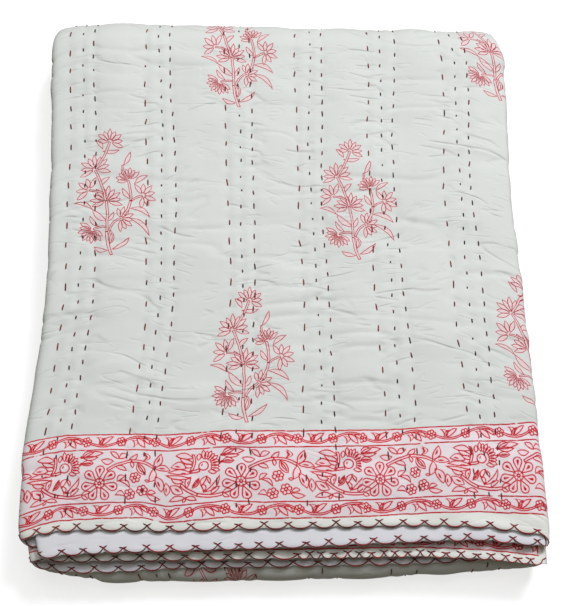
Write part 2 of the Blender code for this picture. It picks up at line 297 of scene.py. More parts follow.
def waves(u, v, long, wide, seed):
    """Soft random waves from -1 to 1, drawn out across the cloth: random heights at the corners
    of a lattice, joined by smooth steps."""
    heights = np.random.default_rng(seed).uniform(-1, 1, LATTICE)
    a, b = u / long + LATTICE_START, v / wide + LATTICE_START
    i, j = np.floor(a).astype(int), np.floor(b).astype(int)
    s, t = smooth_step(a - i), smooth_step(b - j)
    first, last = i % LATTICE[0], (i + 1) % LATTICE[0]
    near, far = (
        heights[first, side % LATTICE[1]] * (1 - s) + heights[last, side % LATTICE[1]] * s
        for side in (j, j + 1)
    )
    return near * (1 - t) + far * t


def row_wander(v, row):
    """The rows stray a little sideways: mostly together, and each a little on its own."""
    phases = GROUP_PHASE + WANDERS[0][2] * (row // 3), WANDERS[1][2] * row, WANDERS[2][2] * row
    return sum(reach * np.sin(v * turns + at) for (reach, turns, _), at in zip(WANDERS, phases))


def row_stitches(row):
    """Middle and half length of each stitch of a row. A few in the middle rows are mere dots."""
    rng = np.random.default_rng(ROW_SEED + row)
    pitch, length = STITCH_PITCHES[row % 3], STITCH_LENGTHS[row % 3]
    count = int(CLOTH_LENGTH / pitch) - 1
    steps = pitch + rng.uniform(-STITCH_VARIES, STITCH_VARIES, count)
    middles = FIRST_STITCH + rng.uniform(0, pitch) + np.cumsum(steps)
    halves = length / 2 * rng.uniform(*LENGTH_VARIES, count)
    short = rng.uniform(0, 1, count) < DOT_SHARES[row % 3]
    keep = middles < CLOTH_LENGTH - LAST_STITCH
    return middles[keep], np.where(short, DOT_HALF, halves)[keep]


STITCHES = [row_stitches(row) for row in range(len(ROWS))]


def quilting(u, v):
    """Height of the quilted face over the even cloth: a crown between the groups, soft swells and
    sharp-bottomed creases across, and a groove along each row that is deeper at its stitches."""
    off_group = np.abs(u[..., None] - GROUPS).min(axis=-1) - ROW_PITCH
    height = CROWN * smooth_step(off_group / CROWN_REACH)
    height += SWELL * waves(u, v, SWELL_LONG, SWELL_WIDE, 3)
    bowed = v + BOW * waves(u, v, BOW_LONG, BOW_WIDE, 5)
    ridge = waves(u, bowed, CREASE_LONG, CREASE_WIDE, 8)
    patches = smooth_step(0.5 + 1.1 * waves(u, v, PATCH_LONG, PATCH_WIDE, 13))
    strength = CREASE_FAINTEST + (1 - CREASE_FAINTEST) * patches
    height -= CREASE_DEPTH * strength * np.exp(-((ridge / CREASE_SHARP) ** 2))
    groove = np.zeros_like(u)
    for row, (middles, halves) in enumerate(STITCHES):
        off = u - ROWS[row] - row_wander(v, row)
        near = np.abs(off) < 3 * GROOVE_REACH
        if near.any():
            at = v[near]
            next_one = np.clip(np.searchsorted(middles, at), 1, len(middles) - 1)
            gap = np.minimum(
                np.abs(at - middles[next_one - 1]) - halves[next_one - 1],
                np.abs(at - middles[next_one]) - halves[next_one],
            )
            pull = np.exp(-((np.maximum(gap, 0.0) / STITCH_REACH) ** 2))
            depth = GROOVE_DEPTH + STITCH_DEPTH * pull
            depth = depth * np.exp(-((off[near] / GROOVE_REACH) ** 2))
            groove[near] = np.maximum(groove[near], depth)
    height -= groove
    return np.where(height < 0, -DEEPEST * np.tanh(-height / DEEPEST), height)


# ----------------------------------------------------------------------------------------------
# The hems. On all four edges the two faces are turned in and closed with a row of cross
# stitches in dark red thread. The cloth is pinched at each cross and puffs out between them.
# ----------------------------------------------------------------------------------------------
CROSS_PITCH, CLOSE_CROSS_PITCH = 0.0255, 0.0140
CROSS_VARIES = 0.15  # as a share of the pitch
CLOSE_CROSSES_TO = 0.262  # u, on the lower hem
HEM_ROUND = 0.0045  # the edge is rounded over this far
HEM_EDGE_THICK = 0.30
PINCH, PINCH_REACH, MOST_PINCHED = 0.50, 0.010, 0.8
HEM_DRAWN_IN, DRAWN_REACH = 0.0026, 0.008
FIRST_CROSS = 0.006
PUFF_ENDS, PUFF_ROUND = 0.02, 0.7  # a puff starts at this share of its way, and how blunt it is
# Where nothing lies on the printed side it swells up, over these distances beside the folds
LEFT_FADE, RIGHT_FADE, RIGHT_LATE = 0.012, 0.006, 0.001
BACK_FADE, BACK_EARLY = 0.030, 0.045
FRONT_FADE, FRONT_INSET = 0.008, 0.004
HEM_PLAIN, HEM_FADE = 0.004, 0.012  # the quilting begins past the first, over the second
PRESSED_PRINTED, PRESSED_REVERSE = 0.4, 0.2  # share of the grooves left where cloth lies on it


def crosses_along(length, seed, close_to=0.0):
    """Places of the crosses along an edge, which stand closer up to a place."""
    rng = np.random.default_rng(seed)
    places = [FIRST_CROSS]
    while places[-1] < length:
        pitch = CLOSE_CROSS_PITCH if places[-1] < close_to else CROSS_PITCH
        places.append(places[-1] + pitch * (1 + rng.uniform(-CROSS_VARIES, CROSS_VARIES)))
    return np.array(places[:-1])


TOP_CROSSES = crosses_along(CLOTH_WIDTH, 21)
LOWER_CROSSES = crosses_along(CLOTH_WIDTH, 22, CLOSE_CROSSES_TO)
FIRST_SIDE_CROSSES = crosses_along(CLOTH_LENGTH, 23)
LAST_SIDE_CROSSES = crosses_along(CLOTH_LENGTH, 24)


def puff(along, crosses):
    """0 at each cross and 1 midway between two."""
    after = np.clip(np.searchsorted(crosses, along), 1, len(crosses) - 1)
    share = (along - crosses[after - 1]) / (crosses[after] - crosses[after - 1])
    return np.sin(np.pi * np.clip(share, PUFF_ENDS, 1 - PUFF_ENDS)) ** PUFF_ROUND


def hem_shape(u, v):
    """Thickness as a share of the even cloth's, and how far the edge is drawn in along v."""
    from_hem = np.minimum(v, CLOTH_LENGTH - v)
    from_side = np.minimum(u, CLOTH_WIDTH - u)
    short_of_even = 1 - np.clip(np.minimum(from_hem, from_side) / HEM_ROUND, 0, 1)
    rounded = 1 - (1 - HEM_EDGE_THICK) * short_of_even**2
    first_half, left_half = v < CLOTH_LENGTH / 2, u < CLOTH_WIDTH / 2
    flat = 1 - np.where(first_half, puff(u, TOP_CROSSES), puff(u, LOWER_CROSSES))
    side_flat = 1 - np.where(left_half, puff(v, FIRST_SIDE_CROSSES), puff(v, LAST_SIDE_CROSSES))
    pinched = flat * np.exp(-((from_hem / PINCH_REACH) ** 2))
    pinched += side_flat * np.exp(-((from_side / PINCH_REACH) ** 2))
    drawn_in = HEM_DRAWN_IN * flat * np.exp(-from_hem / DRAWN_REACH)
    thickness = rounded * (1 - np.minimum(PINCH * pinched, MOST_PINCHED))
    return thickness, np.where(first_half, drawn_in, -drawn_in)


def face_height(u, v, printed):
    """Height of a face off the middle of the cloth. Only where nothing lies on the printed side
    does it swell up; elsewhere it is only pressed in."""
    thickness, _ = hem_shape(u, v)
    way = v - hem_lead(u)
    on_top = smooth_step((u - LAYER_4_END) / LEFT_FADE)
    on_top = on_top * smooth_step((LAYER_2_START + RIGHT_LATE - u) / RIGHT_FADE)
    open_back = 1 - smooth_step((way - BACK_END + BACK_EARLY) / BACK_FADE)
    open_front = smooth_step((way - FRONT_START - FRONT_INSET) / FRONT_FADE)
    open_front = open_front * smooth_step((FRONT_END - FRONT_INSET - way) / FRONT_FADE)
    free = on_top * np.maximum(open_back, open_front)
    relief = quilting(u, v) * smooth_step((np.minimum(v, CLOTH_LENGTH - v) - HEM_PLAIN) / HEM_FADE)
    grooves = np.minimum(relief, 0.0)
    if printed:
        return HALF_THICK * thickness + relief * free + PRESSED_PRINTED * grooves * (1 - free)
    return -HALF_THICK * thickness - PRESSED_REVERSE * grooves


# ----------------------------------------------------------------------------------------------
# The quilt's mesh. Each face is a grid over the flat cloth in bands from hem to hem, fine
# where it shows and coarse where it is folded away. The bands are zipped together, and the two
# faces are joined round the edge, so the cloth is closed.
# ----------------------------------------------------------------------------------------------
HEM_BAND = 0.056
HEM_ROWS = (
    0.0, 0.0010, 0.0024, 0.0042, 0.0065, 0.0095, 0.0130, 0.0175, 0.0230, 0.0300, 0.0385, 0.0475
)
LEAD_FADES = (0.05, 0.20)  # rows follow the hem up to the first and the folds from the second
GROUP_HALF = 0.0245
SHOWN, PLAIN, COARSE, HIDDEN, HIDDEN_TOP = 0.0033, 0.0050, 0.0066, 0.15, 0.05  # between columns
SHOWN_FOLD, HIDDEN_FOLD = 0.0035, 0.0045


def stations(marks, spacings):
    """Places from mark to mark, each stretch cut evenly into steps no longer than its spacing."""
    parts = [
        np.linspace(start, end, max(1, math.ceil((end - start) / spacing - 1e-6)), endpoint=False)
        for start, end, spacing in zip(marks[:-1], marks[1:], spacings)
    ]
    return np.append(np.concatenate(parts), marks[-1])


def layer_columns(start, end, spacing):
    """Columns of one layer, always with the places where the pile's outline bends."""
    shared = np.array([row[0] for row in PILE_ACROSS[1:-1]])
    inside = np.interp((start, end), ACROSS[0], ACROSS[1])
    places = start + np.abs(shared - inside[0])
    places = np.sort(places[(shared > inside.min()) & (shared < inside.max())])
    return stations((start, *places, end), np.full(len(places) + 1, spacing))


def top_columns():
    """Columns of the top layer, closer in the groups of rows than between them."""
    marks, spacings = [TOP_START], []
    for group in TOP_GROUP_PLACES:
        marks += [max(group - GROUP_HALF, TOP_START + PLAIN), group + GROUP_HALF]
        spacings += [PLAIN, SHOWN]
    return stations([*marks, TOP_END], [*spacings, PLAIN])


def columns(layer_4, layer_2, layer_3, fold, top=None):
    """Columns across the whole cloth, from the spacing in each layer and in the folds."""
    parts = (
        layer_columns(0.0, LAYER_4_END, layer_4),
        stations((LAYER_4_END, TOP_START), (fold,)),
        top_columns() if top is None else layer_columns(TOP_START, TOP_END, top),
        stations((TOP_END, LAYER_2_START), (fold / 3,)),
        layer_columns(LAYER_2_START, LAYER_2_END, layer_2),
        stations((LAYER_2_END, LAYER_3_START), (fold / 3,)),
        layer_columns(LAYER_3_START, CLOTH_WIDTH, layer_3),
    )
    return np.append(np.concatenate([part[:-1] for part in parts]), CLOTH_WIDTH)


TOP_HEM_COLUMNS = columns(COARSE, SHOWN, COARSE, SHOWN_FOLD)
LOWER_HEM_COLUMNS = columns(SHOWN, COARSE, COARSE, SHOWN_FOLD)
TOP_COLUMNS = columns(HIDDEN, HIDDEN, HIDDEN, SHOWN_FOLD)
HIDDEN_COLUMNS = columns(HIDDEN, HIDDEN, HIDDEN, HIDDEN_FOLD, HIDDEN_TOP)
HEM_ROW_PLACES = np.array(HEM_ROWS)
LOWER_ROW_PLACES = CLOTH_LENGTH - HEM_ROW_PLACES[::-1]

# Where the strip that ends in the lower hem reaches its full height
LOWER_BEND = CLOTH_LENGTH - (STRIP_THINS[-1][0] - LOWER_HEM_BACK)
BAND_ENDS = (
    HEM_BAND, BACK_START, BACK_END, FRONT_START, FRONT_END, INNER_START, INNER_END, LOWER_BEND,
    CLOTH_LENGTH - HEM_BAND,
)
PRINTED_SPACINGS = (0.0024, 0.0055, 0.10, 0.0026, 0.10, 0.006, 0.10, 0.02)  # of rows, by band
REVERSE_SPACINGS = (0.06, 0.0095, 0.10, 0.0035, 0.10, 0.006, 0.10, 0.02)
BANDS_SHOWN = (0, 1, 3)  # the top, the back fold and the front fold


def bands(spacings, shown=()):
    """Rows and columns of each band of a face, from hem to hem."""
    between = [
        (stations((start, end), (spacing,))[:-1], TOP_COLUMNS if band in shown else HIDDEN_COLUMNS)
        for band, (start, end, spacing) in enumerate(zip(BAND_ENDS, BAND_ENDS[1:], spacings))
    ]
    return [(HEM_ROW_PLACES, TOP_HEM_COLUMNS), *between, (LOWER_ROW_PLACES, LOWER_HEM_COLUMNS)]


def zipped(first, first_at, second, second_at):
    """Triangles between two lines of points that run side by side, each step taken on the line
    that lags. They turn left from the first line towards the second."""
    first_steps = (first_at[1:] + first_at[:-1]) / 2
    second_steps = (second_at[1:] + second_at[:-1]) / 2
    across = np.searchsorted(second_steps, first_steps, side="left")
    back = np.searchsorted(first_steps, second_steps, side="right")
    low = np.stack([first[:-1], first[1:], second[across]], axis=1)
    high = np.stack([first[back], second[1:], second[:-1]], axis=1)
    return np.concatenate([low, high])


def cloth_face(face_bands, printed, first_number):
    """One face of the cloth: its points, their places on the flat cloth, its faces and its rim."""
    points, flat, quads, triangles, grids = [], [], [], [], []
    number = first_number
    for band_rows, band_columns in face_bands:
        row, u = np.meshgrid(band_rows, band_columns, indexing="ij")
        from_hem = np.minimum(row, CLOTH_LENGTH - row)
        follows = 1 - smooth_step((from_hem - LEAD_FADES[0]) / (LEAD_FADES[1] - LEAD_FADES[0]))
        v = row + hem_lead(u) * (1 - follows)
        placed = on_cloth(u, v + hem_shape(u, v)[1], face_height(u, v, printed))
        points.append(placed.reshape(-1, 3))
        flat.append(np.stack([u, v], axis=-1).reshape(-1, 2))
        grid = number + np.arange(u.size).reshape(u.shape)
        number += u.size
        around = grid[:-1, :-1], grid[:-1, 1:], grid[1:, 1:], grid[1:, :-1]
        quads.append(np.stack(around, axis=-1).reshape(-1, 4))
        if grids:
            triangles.append(zipped(grids[-1][-1], columns_before, grid[0], band_columns))
        grids.append(grid)
        columns_before = band_columns
    first_side, last_side = (np.concatenate([grid[:, end] for grid in grids]) for end in (0, -1))
    ways = np.concatenate([band_rows for band_rows, _ in face_bands])
    rim = (
        (grids[0][0], face_bands[0][1]),
        (last_side, ways),
        (grids[-1][-1][::-1], -face_bands[-1][1][::-1]),
        (first_side[::-1], -ways[::-1]),
    )
    return *(np.concatenate(arrays) for arrays in (points, flat, quads, triangles)), rim


FIELD, BORDER, REVERSE = 0, 1, 2  # materials
PRINTED_SIDE, REVERSE_SIDE, RIM = 0, 1, 2
BORDER_WIDTH, PAST_INNER_LINE = 0.116, 0.005


def quilt_arrays():
    """Points, places on the flat cloth, corners of all faces, their counts, middles and materials,
    the side of the cloth that each is on, and the number of points on the printed side."""
    top, top_flat, top_quads, top_triangles, top_rim = cloth_face(
        bands(PRINTED_SPACINGS, BANDS_SHOWN), True, 0
    )
    under, under_flat, under_quads, under_triangles, under_rim = cloth_face(
        bands(REVERSE_SPACINGS), False, len(top)
    )
    rim = np.concatenate([zipped(*low, *high) for low, high in zip(under_rim, top_rim)])
    flat = np.concatenate([top_flat, under_flat])
    threes = np.concatenate([top_triangles, under_triangles[:, ::-1], rim])
    fours = np.concatenate([top_quads, under_quads[:, ::-1]])
    corners = np.concatenate([fours.ravel(), threes.ravel()])
    counts = np.repeat((4, 3), (len(fours), len(threes)))
    middle = np.concatenate([flat[fours].mean(axis=1), flat[threes].mean(axis=1)])
    lengths = [len(top_quads), len(under_quads), len(top_triangles), len(under_triangles), len(rim)]
    side = np.repeat((PRINTED_SIDE, REVERSE_SIDE, PRINTED_SIDE, REVERSE_SIDE, RIM), lengths)
    u, v = middle.T
    from_others = np.minimum(np.minimum(u, CLOTH_WIDTH - u), CLOTH_LENGTH - v)
    in_border = (from_others < BORDER_WIDTH) | (v < hem_lines(u)[1] + PAST_INNER_LINE)
    material = np.where(side == PRINTED_SIDE, np.where(in_border, BORDER, FIELD), REVERSE)
    return np.concatenate([top, under]), flat, corners, counts, middle, material, side, len(top)


# ----------------------------------------------------------------------------------------------
# Where the print falls. The ground is printed with one block of a flowering sprig, in columns
# that are set half a step apart, and the four edges with a border block. The places are in
# metres on the cloth, for each face of the mesh, in its map "print".
# ----------------------------------------------------------------------------------------------
SPRIG_PITCH, SPRIG_RISE = 0.167, 0.406
SPRIG_FOOT = 0.121  # v of the first foot of an even column
SPRIG_SLANT = -0.033  # of the columns, x over v
TOP_SPRIG = -0.039  # x of the first foot of an even column on the top layer
# Of some columns, x and v
SPRIG_STRAY = {-1: (0.0, 0.006), 0: (0.0, 0.002), 1: (-0.0225, -0.0045), 2: (0.004, 0.0285)}
# Past the first fold the sprigs stand closer, and more so column by column
LATER_FROM, LATER_CLOSER, LATER_BY_COLUMN = 1.0, 0.045, 0.046
BELOW_FOOT = 0.10  # a sprig's own cloth begins this far below its foot
CLEAR_SIDE, CLEAR_FIRST_HEM, CLEAR_LAST_HEM = 0.160, 0.1, 0.27  # feet stay off the edges by this
NO_SPRIG = 1.0  # metres, where nothing is printed
BLOCK_LENGTH = 0.157
BLOCK_JOINT = 0.0205  # from a block's daisy back to its joint with the one before
TOP_BLOCKS = (-0.2005, -0.0436, 0.1064, 0.2630)  # x of the daisies on the top layer
OUTER_AT, INNER_AT = 0.011, 0.110  # border's outer and inner lines, in from the edge
# The hem's blocks were laid by hand: x on the top layer, and where the two lines really run
BORDER_RUNS = (
    (-0.290, 0.0085, 0.1085),
    (-0.250, 0.0120, 0.1085),
    (-0.200, 0.0132, 0.1085),
    (-0.150, 0.0150, 0.1095),
    (-0.122, 0.0090, 0.1092),
    (-0.060, 0.0144, 0.1125),
    (-0.020, 0.0115, 0.1109),
    (0.050, 0.0110, 0.1100),
    (0.100, 0.0122, 0.1092),
    (0.150, 0.0140, 0.1110),
    (0.200, 0.0165, 0.1145),
    (0.235, 0.0186, 0.1188),
    (0.265, 0.0215, 0.1238),
    (0.290, 0.0243, 0.1300),
)


def across_at(x):
    """Distance across the cloth of a place on the top layer."""
    return x - LEFT + TOP_START


def hem_lines(u):
    """Where the border's outer and inner lines really run on the top hem, in from its edge."""
    places, outer, inner = zip(*BORDER_RUNS)
    ends = [0.0, *across_at(np.array(places)), CLOTH_WIDTH]
    lines = (OUTER_AT, *outer, OUTER_AT), (INNER_AT, *inner, INNER_AT)
    return [np.interp(u, ends, line) for line in lines]


def from_daisy(along, middle_along, daisies):
    """Distance from the daisy of the block that a face's middle belongs to."""
    block = np.searchsorted(daisies - BLOCK_JOINT, middle_along, side="right") - 1
    return along - daisies[np.clip(block, 0, len(daisies) - 1)]


def print_places(u, v, middle, material):
    """Corner places for the print: from a sprig's foot, or along a border's block and in from
    its edge. All corners of a face follow the same sprig or block."""
    middle_u, middle_v = middle.T
    base = across_at(TOP_SPRIG)
    column = np.round((middle_u - base - SPRIG_SLANT * (middle_v - SPRIG_FOOT)) / SPRIG_PITCH)
    strays = [column == number for number in SPRIG_STRAY]
    stray_u, stray_v = (np.select(strays, by, 0.0) for by in zip(*SPRIG_STRAY.values()))
    foot = SPRIG_FOOT + SPRIG_RISE / 2 * (column % 2) + stray_v
    foot = foot + SPRIG_RISE * np.floor((middle_v - foot + BELOW_FOOT) / SPRIG_RISE)
    closer = LATER_CLOSER + LATER_BY_COLUMN * np.clip(column, 0, 2)
    foot = foot - closer * (foot > LATER_FROM)
    centre = base + column * SPRIG_PITCH + stray_u + SPRIG_SLANT * (foot - SPRIG_FOOT)
    inside = np.minimum(centre, CLOTH_WIDTH - centre) > CLEAR_SIDE
    inside = inside & (foot > CLEAR_FIRST_HEM) & (foot < CLOTH_LENGTH - CLEAR_LAST_HEM)
    sprig = np.where(inside[:, None], np.stack([u - centre, v - foot], axis=1), NO_SPRIG)

    outer, inner = hem_lines(u)
    hem_inward = OUTER_AT + (v - outer) * (INNER_AT - OUTER_AT) / (inner - outer)
    daisies = across_at(np.array(TOP_BLOCKS))
    before = np.arange(daisies[0] - BLOCK_LENGTH, -BLOCK_LENGTH, -BLOCK_LENGTH)[::-1]
    after = np.arange(daisies[-1] + BLOCK_LENGTH, CLOTH_WIDTH + BLOCK_LENGTH, BLOCK_LENGTH)
    daisies = np.concatenate([before, daisies, after])
    even = np.arange(-CLOTH_LENGTH - 1, CLOTH_LENGTH + 1, BLOCK_LENGTH)
    on_hem = middle_v < hem_lines(middle_u)[1] + PAST_INNER_LINE
    sides = (on_hem, CLOTH_LENGTH - middle_v < BORDER_WIDTH, middle_u < BORDER_WIDTH)
    along = (
        from_daisy(u, middle_u, daisies),
        from_daisy(-u, -middle_u, even),
        from_daisy(-v, -middle_v, even),
    )
    along = np.select(sides, along, from_daisy(v, middle_v, even))
    inward = np.select(sides, (hem_inward, CLOTH_LENGTH - v, u), CLOTH_WIDTH - u)
    border = np.stack([along, inward], axis=1)
    return np.where((material == BORDER)[:, None], border, sprig)


# The atlas map, in pixels: left, right, bottom and top of each panel
ATLAS = 1024
ATLAS_TOP, ATLAS_FRONT = (3, 860, 3, 1021), (966, 996, 3, 690)
ATLAS_HEMS = [(left, left + 20, 3, 1021) for left in (866, 891, 916, 941)]
ATLAS_RESTS = ((966, 996, 700, 855), (966, 996, 865, 1020))
ATLAS_RIMS = [(left, left + 3, 3, 1021) for left in (1001, 1007, 1013, 1019)]
TOP_PANEL_PAST = 0.012  # the top panel goes on past the back fold
AT_EDGE = 1e-6


def atlas_places(u, v, middle, side, near_print):
    """Corner places in the atlas, which gives most of its room to what shows from above. The top
    layer is one panel with both side folds and the back fold. The hems, the front fold, what is
    folded away and the rim lie beside it, turned upright."""
    middle_u, middle_v = middle.T
    way, middle_way = v - hem_lead(u), middle_v - hem_lead(middle_u)
    over_top = (middle_u > LAYER_4_END) & (middle_u < LAYER_2_START) & (side == PRINTED_SIDE)
    across = (u - LAYER_4_END) / (LAYER_2_START - LAYER_4_END)
    hem_share, low_share = v / HEM_BAND, (CLOTH_LENGTH - v) / HEM_BAND
    along_u, along_v = u / CLOTH_WIDTH, v / CLOTH_LENGTH
    in_hem, in_low = middle_v < HEM_BAND, CLOTH_LENGTH - middle_v < HEM_ROWS[-1]
    in_front = over_top & (middle_way > FRONT_START) & (middle_way < FRONT_END)
    reach = BACK_END + TOP_PANEL_PAST
    choices = [(over_top & (middle_way < BACK_END), across, v / reach, ATLAS_TOP)]
    choices += [(in_front, (way - FRONT_START) / (FRONT_END - FRONT_START), across, ATLAS_FRONT)]
    for number, which in enumerate((PRINTED_SIDE, REVERSE_SIDE)):
        on_side = side == which
        choices.append((on_side & in_hem, hem_share, along_u, ATLAS_HEMS[2 * number]))
        choices.append((on_side & in_low, low_share, along_u, ATLAS_HEMS[2 * number + 1]))
        choices.append((on_side, along_v, along_u, ATLAS_RESTS[number]))
    edges = [
        from_edge < AT_EDGE
        for from_edge in (middle_v, CLOTH_LENGTH - middle_v, middle_u, CLOTH_WIDTH - middle_u)
    ]
    for number, edge in enumerate(edges):
        choices.append((edge, near_print, along_u if number < 2 else along_v, ATLAS_RIMS[number]))
    chosen, rightward, upward, panels = zip(*choices)
    left, right, low, high = zip(*panels)
    x = [start + (end - start) * share for start, end, share in zip(left, right, rightward)]
    y = [start + (end - start) * share for start, end, share in zip(low, high, upward)]
    return np.stack([np.select(chosen, x), np.select(chosen, y)], axis=1) / ATLAS


def quilt_mesh():
    """The quilt's mesh with its maps: "cloth" in metres of flat cloth, "print" and the atlas."""
    points, flat, corners, counts, middle, material, side, printed_points = quilt_arrays()
    mesh = bpy.data.meshes.new("quilt_cloth")
    mesh.vertices.add(len(points))
    mesh.vertices.foreach_set("co", points.ravel())
    mesh.loops.add(len(corners))
    mesh.loops.foreach_set("vertex_index", corners)
    mesh.polygons.add(len(counts))
    mesh.polygons.foreach_set("loop_start", np.concatenate([[0], np.cumsum(counts)[:-1]]))
    mesh.polygons.foreach_set("material_index", material)
    mesh.update(calc_edges=True)
    face = np.repeat(np.arange(len(counts)), counts)
    u, v = flat[corners].T
    near_print = np.where(corners < printed_points, 1.0, 0.0)
    for name, places in (
        ("cloth", flat[corners]),
        ("print", print_places(u, v, middle[face], material[face])),
        ("OFBake", atlas_places(u, v, middle[face], side[face], near_print)),
    ):
        mesh.uv_layers.new(name=name).data.foreach_set("uv", places.ravel())
    mesh.shade_smooth()
    mesh.validate()
    return mesh


# ----------------------------------------------------------------------------------------------
# The block print, in one red. Every shape is an outline, worked out as the distance to it in
# millimetres. A leaf or petal is a lens between its foot and its tip, a stem is a bent bar, and
# round flowers are folded about their middle.
# ----------------------------------------------------------------------------------------------
PETAL_SHORTER = 0.13  # every other petal, as a share of its length
ROSETTE_TURN = 15.0  # degrees
ROSETTE_PETAL_AT, ROSETTE_PETAL, ROSETTE_RING = 3.9, 2.15, 1.5  # radii at size 1


def colour(red, green, blue):
    """Linear colour of a shade given in ordinary 0 to 255 values."""
    shares = np.array([red, green, blue]) / 255
    return (*np.where(shares <= 0.04045, shares / 12.92, ((shares + 0.055) / 1.055) ** 2.4), 1.0)


class Reading:
    """A number, vector or colour that changes over the cloth: an output of a node. A sum on it
    adds the node that works it out."""

    def __init__(self, socket):
        self.socket, self.tree = socket, socket.id_data
        self.wide = socket.type != "VALUE"

    def __add__(self, other):
        return maths("ADD", self, other)

    def __sub__(self, other):
        return maths("SUBTRACT", self, other)

    def __rsub__(self, other):
        return maths("SUBTRACT", other, self)

    def __mul__(self, other):
        """Times a number, or part by part times a vector."""
        number = not other.wide if isinstance(other, Reading) else np.ndim(other) == 0
        if self.wide and number:
            inputs = (0, self), ("Scale", other)
            return Reading(add_node(self.tree, "VectorMath", inputs, operation="SCALE")["Vector"])
        return maths("MULTIPLY", self, other)

    def __neg__(self):
        return self * -1.0

    def __abs__(self):
        return maths("ABSOLUTE", self)

    def parts(self):
        """Its x, y and z."""
        return [Reading(output) for output in add_node(self.tree, "SeparateXYZ", [(0, self)])]


def feed(socket, value):
    """Link a reading to an input, or set the input's value."""
    if isinstance(value, Reading):
        value.tree.links.new(value.socket, socket)
    else:
        socket.default_value = tuple(value) if np.ndim(value) else value


def add_node(tree, kind, inputs=(), **settings):
    """Outputs of a new node, with its settings, and with inputs fed by their names or numbers."""
    node = tree.nodes.new("ShaderNode" + kind)
    for label, setting in settings.items():
        setattr(node, label, setting)
    for label, value in inputs:
        feed(node.inputs[label], value)
    return node.outputs


def maths(operation, *values):
    """A node of plain or of vector maths, on readings and constants."""
    first = next(value for value in values if isinstance(value, Reading))
    kind = "VectorMath" if first.wide else "Math"
    outputs = add_node(first.tree, kind, enumerate(values), operation=operation)
    measures = operation in ("LENGTH", "DISTANCE", "DOT_PRODUCT")
    return Reading(outputs["Value"] if measures else outputs[0])


def least(first, *others):
    for other in others:
        first = maths("MINIMUM", first, other)
    return first


def most(first, *others):
    for other in others:
        first = maths("MAXIMUM", first, other)
    return first


def joined(*parts):
    """A vector from its x, y and z, of which some may be constants."""
    tree = next(part.tree for part in parts if isinstance(part, Reading))
    return Reading(add_node(tree, "CombineXYZ", enumerate(parts))[0])


def ramp(value, low, high, out_low=0.0, out_high=1.0):
    """A smooth step of a value, from one output to another."""
    numbers = enumerate((value, low, high, out_low, out_high))
    return Reading(add_node(value.tree, "MapRange", numbers, interpolation_type="SMOOTHSTEP")[0])


def noise(place, scale, detail=2.0, output="Fac"):
    inputs = ("Vector", place), ("Scale", scale), ("Detail", detail)
    return Reading(add_node(place.tree, "TexNoise", inputs)[output])


def blended(share, first, second):
    """A colour, a share of the way from the first to the second."""
    inputs = ("Factor", share), ("A", first), ("B", second)
    return Reading(add_node(share.tree, "Mix", inputs, data_type="RGBA")["Result"])


def new_group(name, input_name, drawing):
    """A node group that reads one place and gives the numbers that drawing makes of it."""
    tree = bpy.data.node_groups.new(name, "ShaderNodeTree")
    tree.interface.new_socket(input_name, in_out="INPUT", socket_type="NodeSocketVector")
    numbers = drawing(Reading(tree.nodes.new("NodeGroupInput").outputs[0]))
    for label in numbers:
        tree.interface.new_socket(label, in_out="OUTPUT", socket_type="NodeSocketFloat")
    result = tree.nodes.new("NodeGroupOutput")
    for label, number in numbers.items():
        feed(result.inputs[label], number)
    return tree


def leaves(place, table, bars=False):
    """Distance to the nearest outline of many leaves, and how far outside the nearest leaf.

    A row holds a leaf's foot x and y, its angle in degrees, length, width, and bend as a share of
    the length. Along it s goes from 0 to 1. Its middle line lies bend * length * 4s(1 - s) to the
    left, and its edges half the width * 4s(1 - s) from that, or half the width all along for
    bars. Three leaves are worked out at once, one in each component of a vector.
    """
    x, y, _ = place.parts()
    across, up = joined(x, x, x), joined(y, y, y)
    edges, insides = [], []
    for first in range(0, len(table), 3):
        trio = [table[min(first + k, len(table) - 1)] for k in range(3)]
        x, y, angle, length, width, bend = (np.array(column, float) for column in zip(*trio))
        cos, sin = np.cos(np.radians(angle)), np.sin(np.radians(angle))
        share = maths("MULTIPLY_ADD", across, cos / length, -(x * cos + y * sin) / length)
        share = maths("MULTIPLY_ADD", up, sin / length, share)
        side = maths("MULTIPLY_ADD", across, -sin, x * sin - y * cos)
        side = maths("MULTIPLY_ADD", up, cos, side)
        arch = share * ((1, 1, 1) - share)
        off = abs(maths("MULTIPLY_ADD", arch, -4 * bend * length, side))
        if bars:
            past_end = maths("MULTIPLY_ADD", abs(share - (0.5, 0.5, 0.5)), length, -length / 2)
            off = most(off - width / 2, past_end)
        else:
            off = maths("MULTIPLY_ADD", arch, -2 * width, off)
        edges.append(abs(off))
        insides.append(off)
    return least(*least(*edges).parts()), least(*least(*insides).parts())


def leaves_behind_stems(place, leaf_table, stem_table):
    """The distances of leaves() for both tables, with no leaf's outline drawn over a stem."""
    line, outside = leaves(place, leaf_table)
    stem_line, stem_outside = leaves(place, stem_table, bars=True)
    return least(most(line, -stem_outside), stem_line), least(outside, stem_outside)


def petals(x, y, count, start, end, length, width, gap=0.0):
    """A flower's petals as rows for leaves(), between two angles, every other one shorter."""
    angles = np.linspace(start, end, count)
    bearings = np.radians(angles)
    lengths = length * (1 - PETAL_SHORTER * (np.arange(count) % 2))
    feet = x + gap * np.cos(bearings), y + gap * np.sin(bearings)
    return [(*row, width, 0.0) for row in zip(*feet, angles, lengths)]


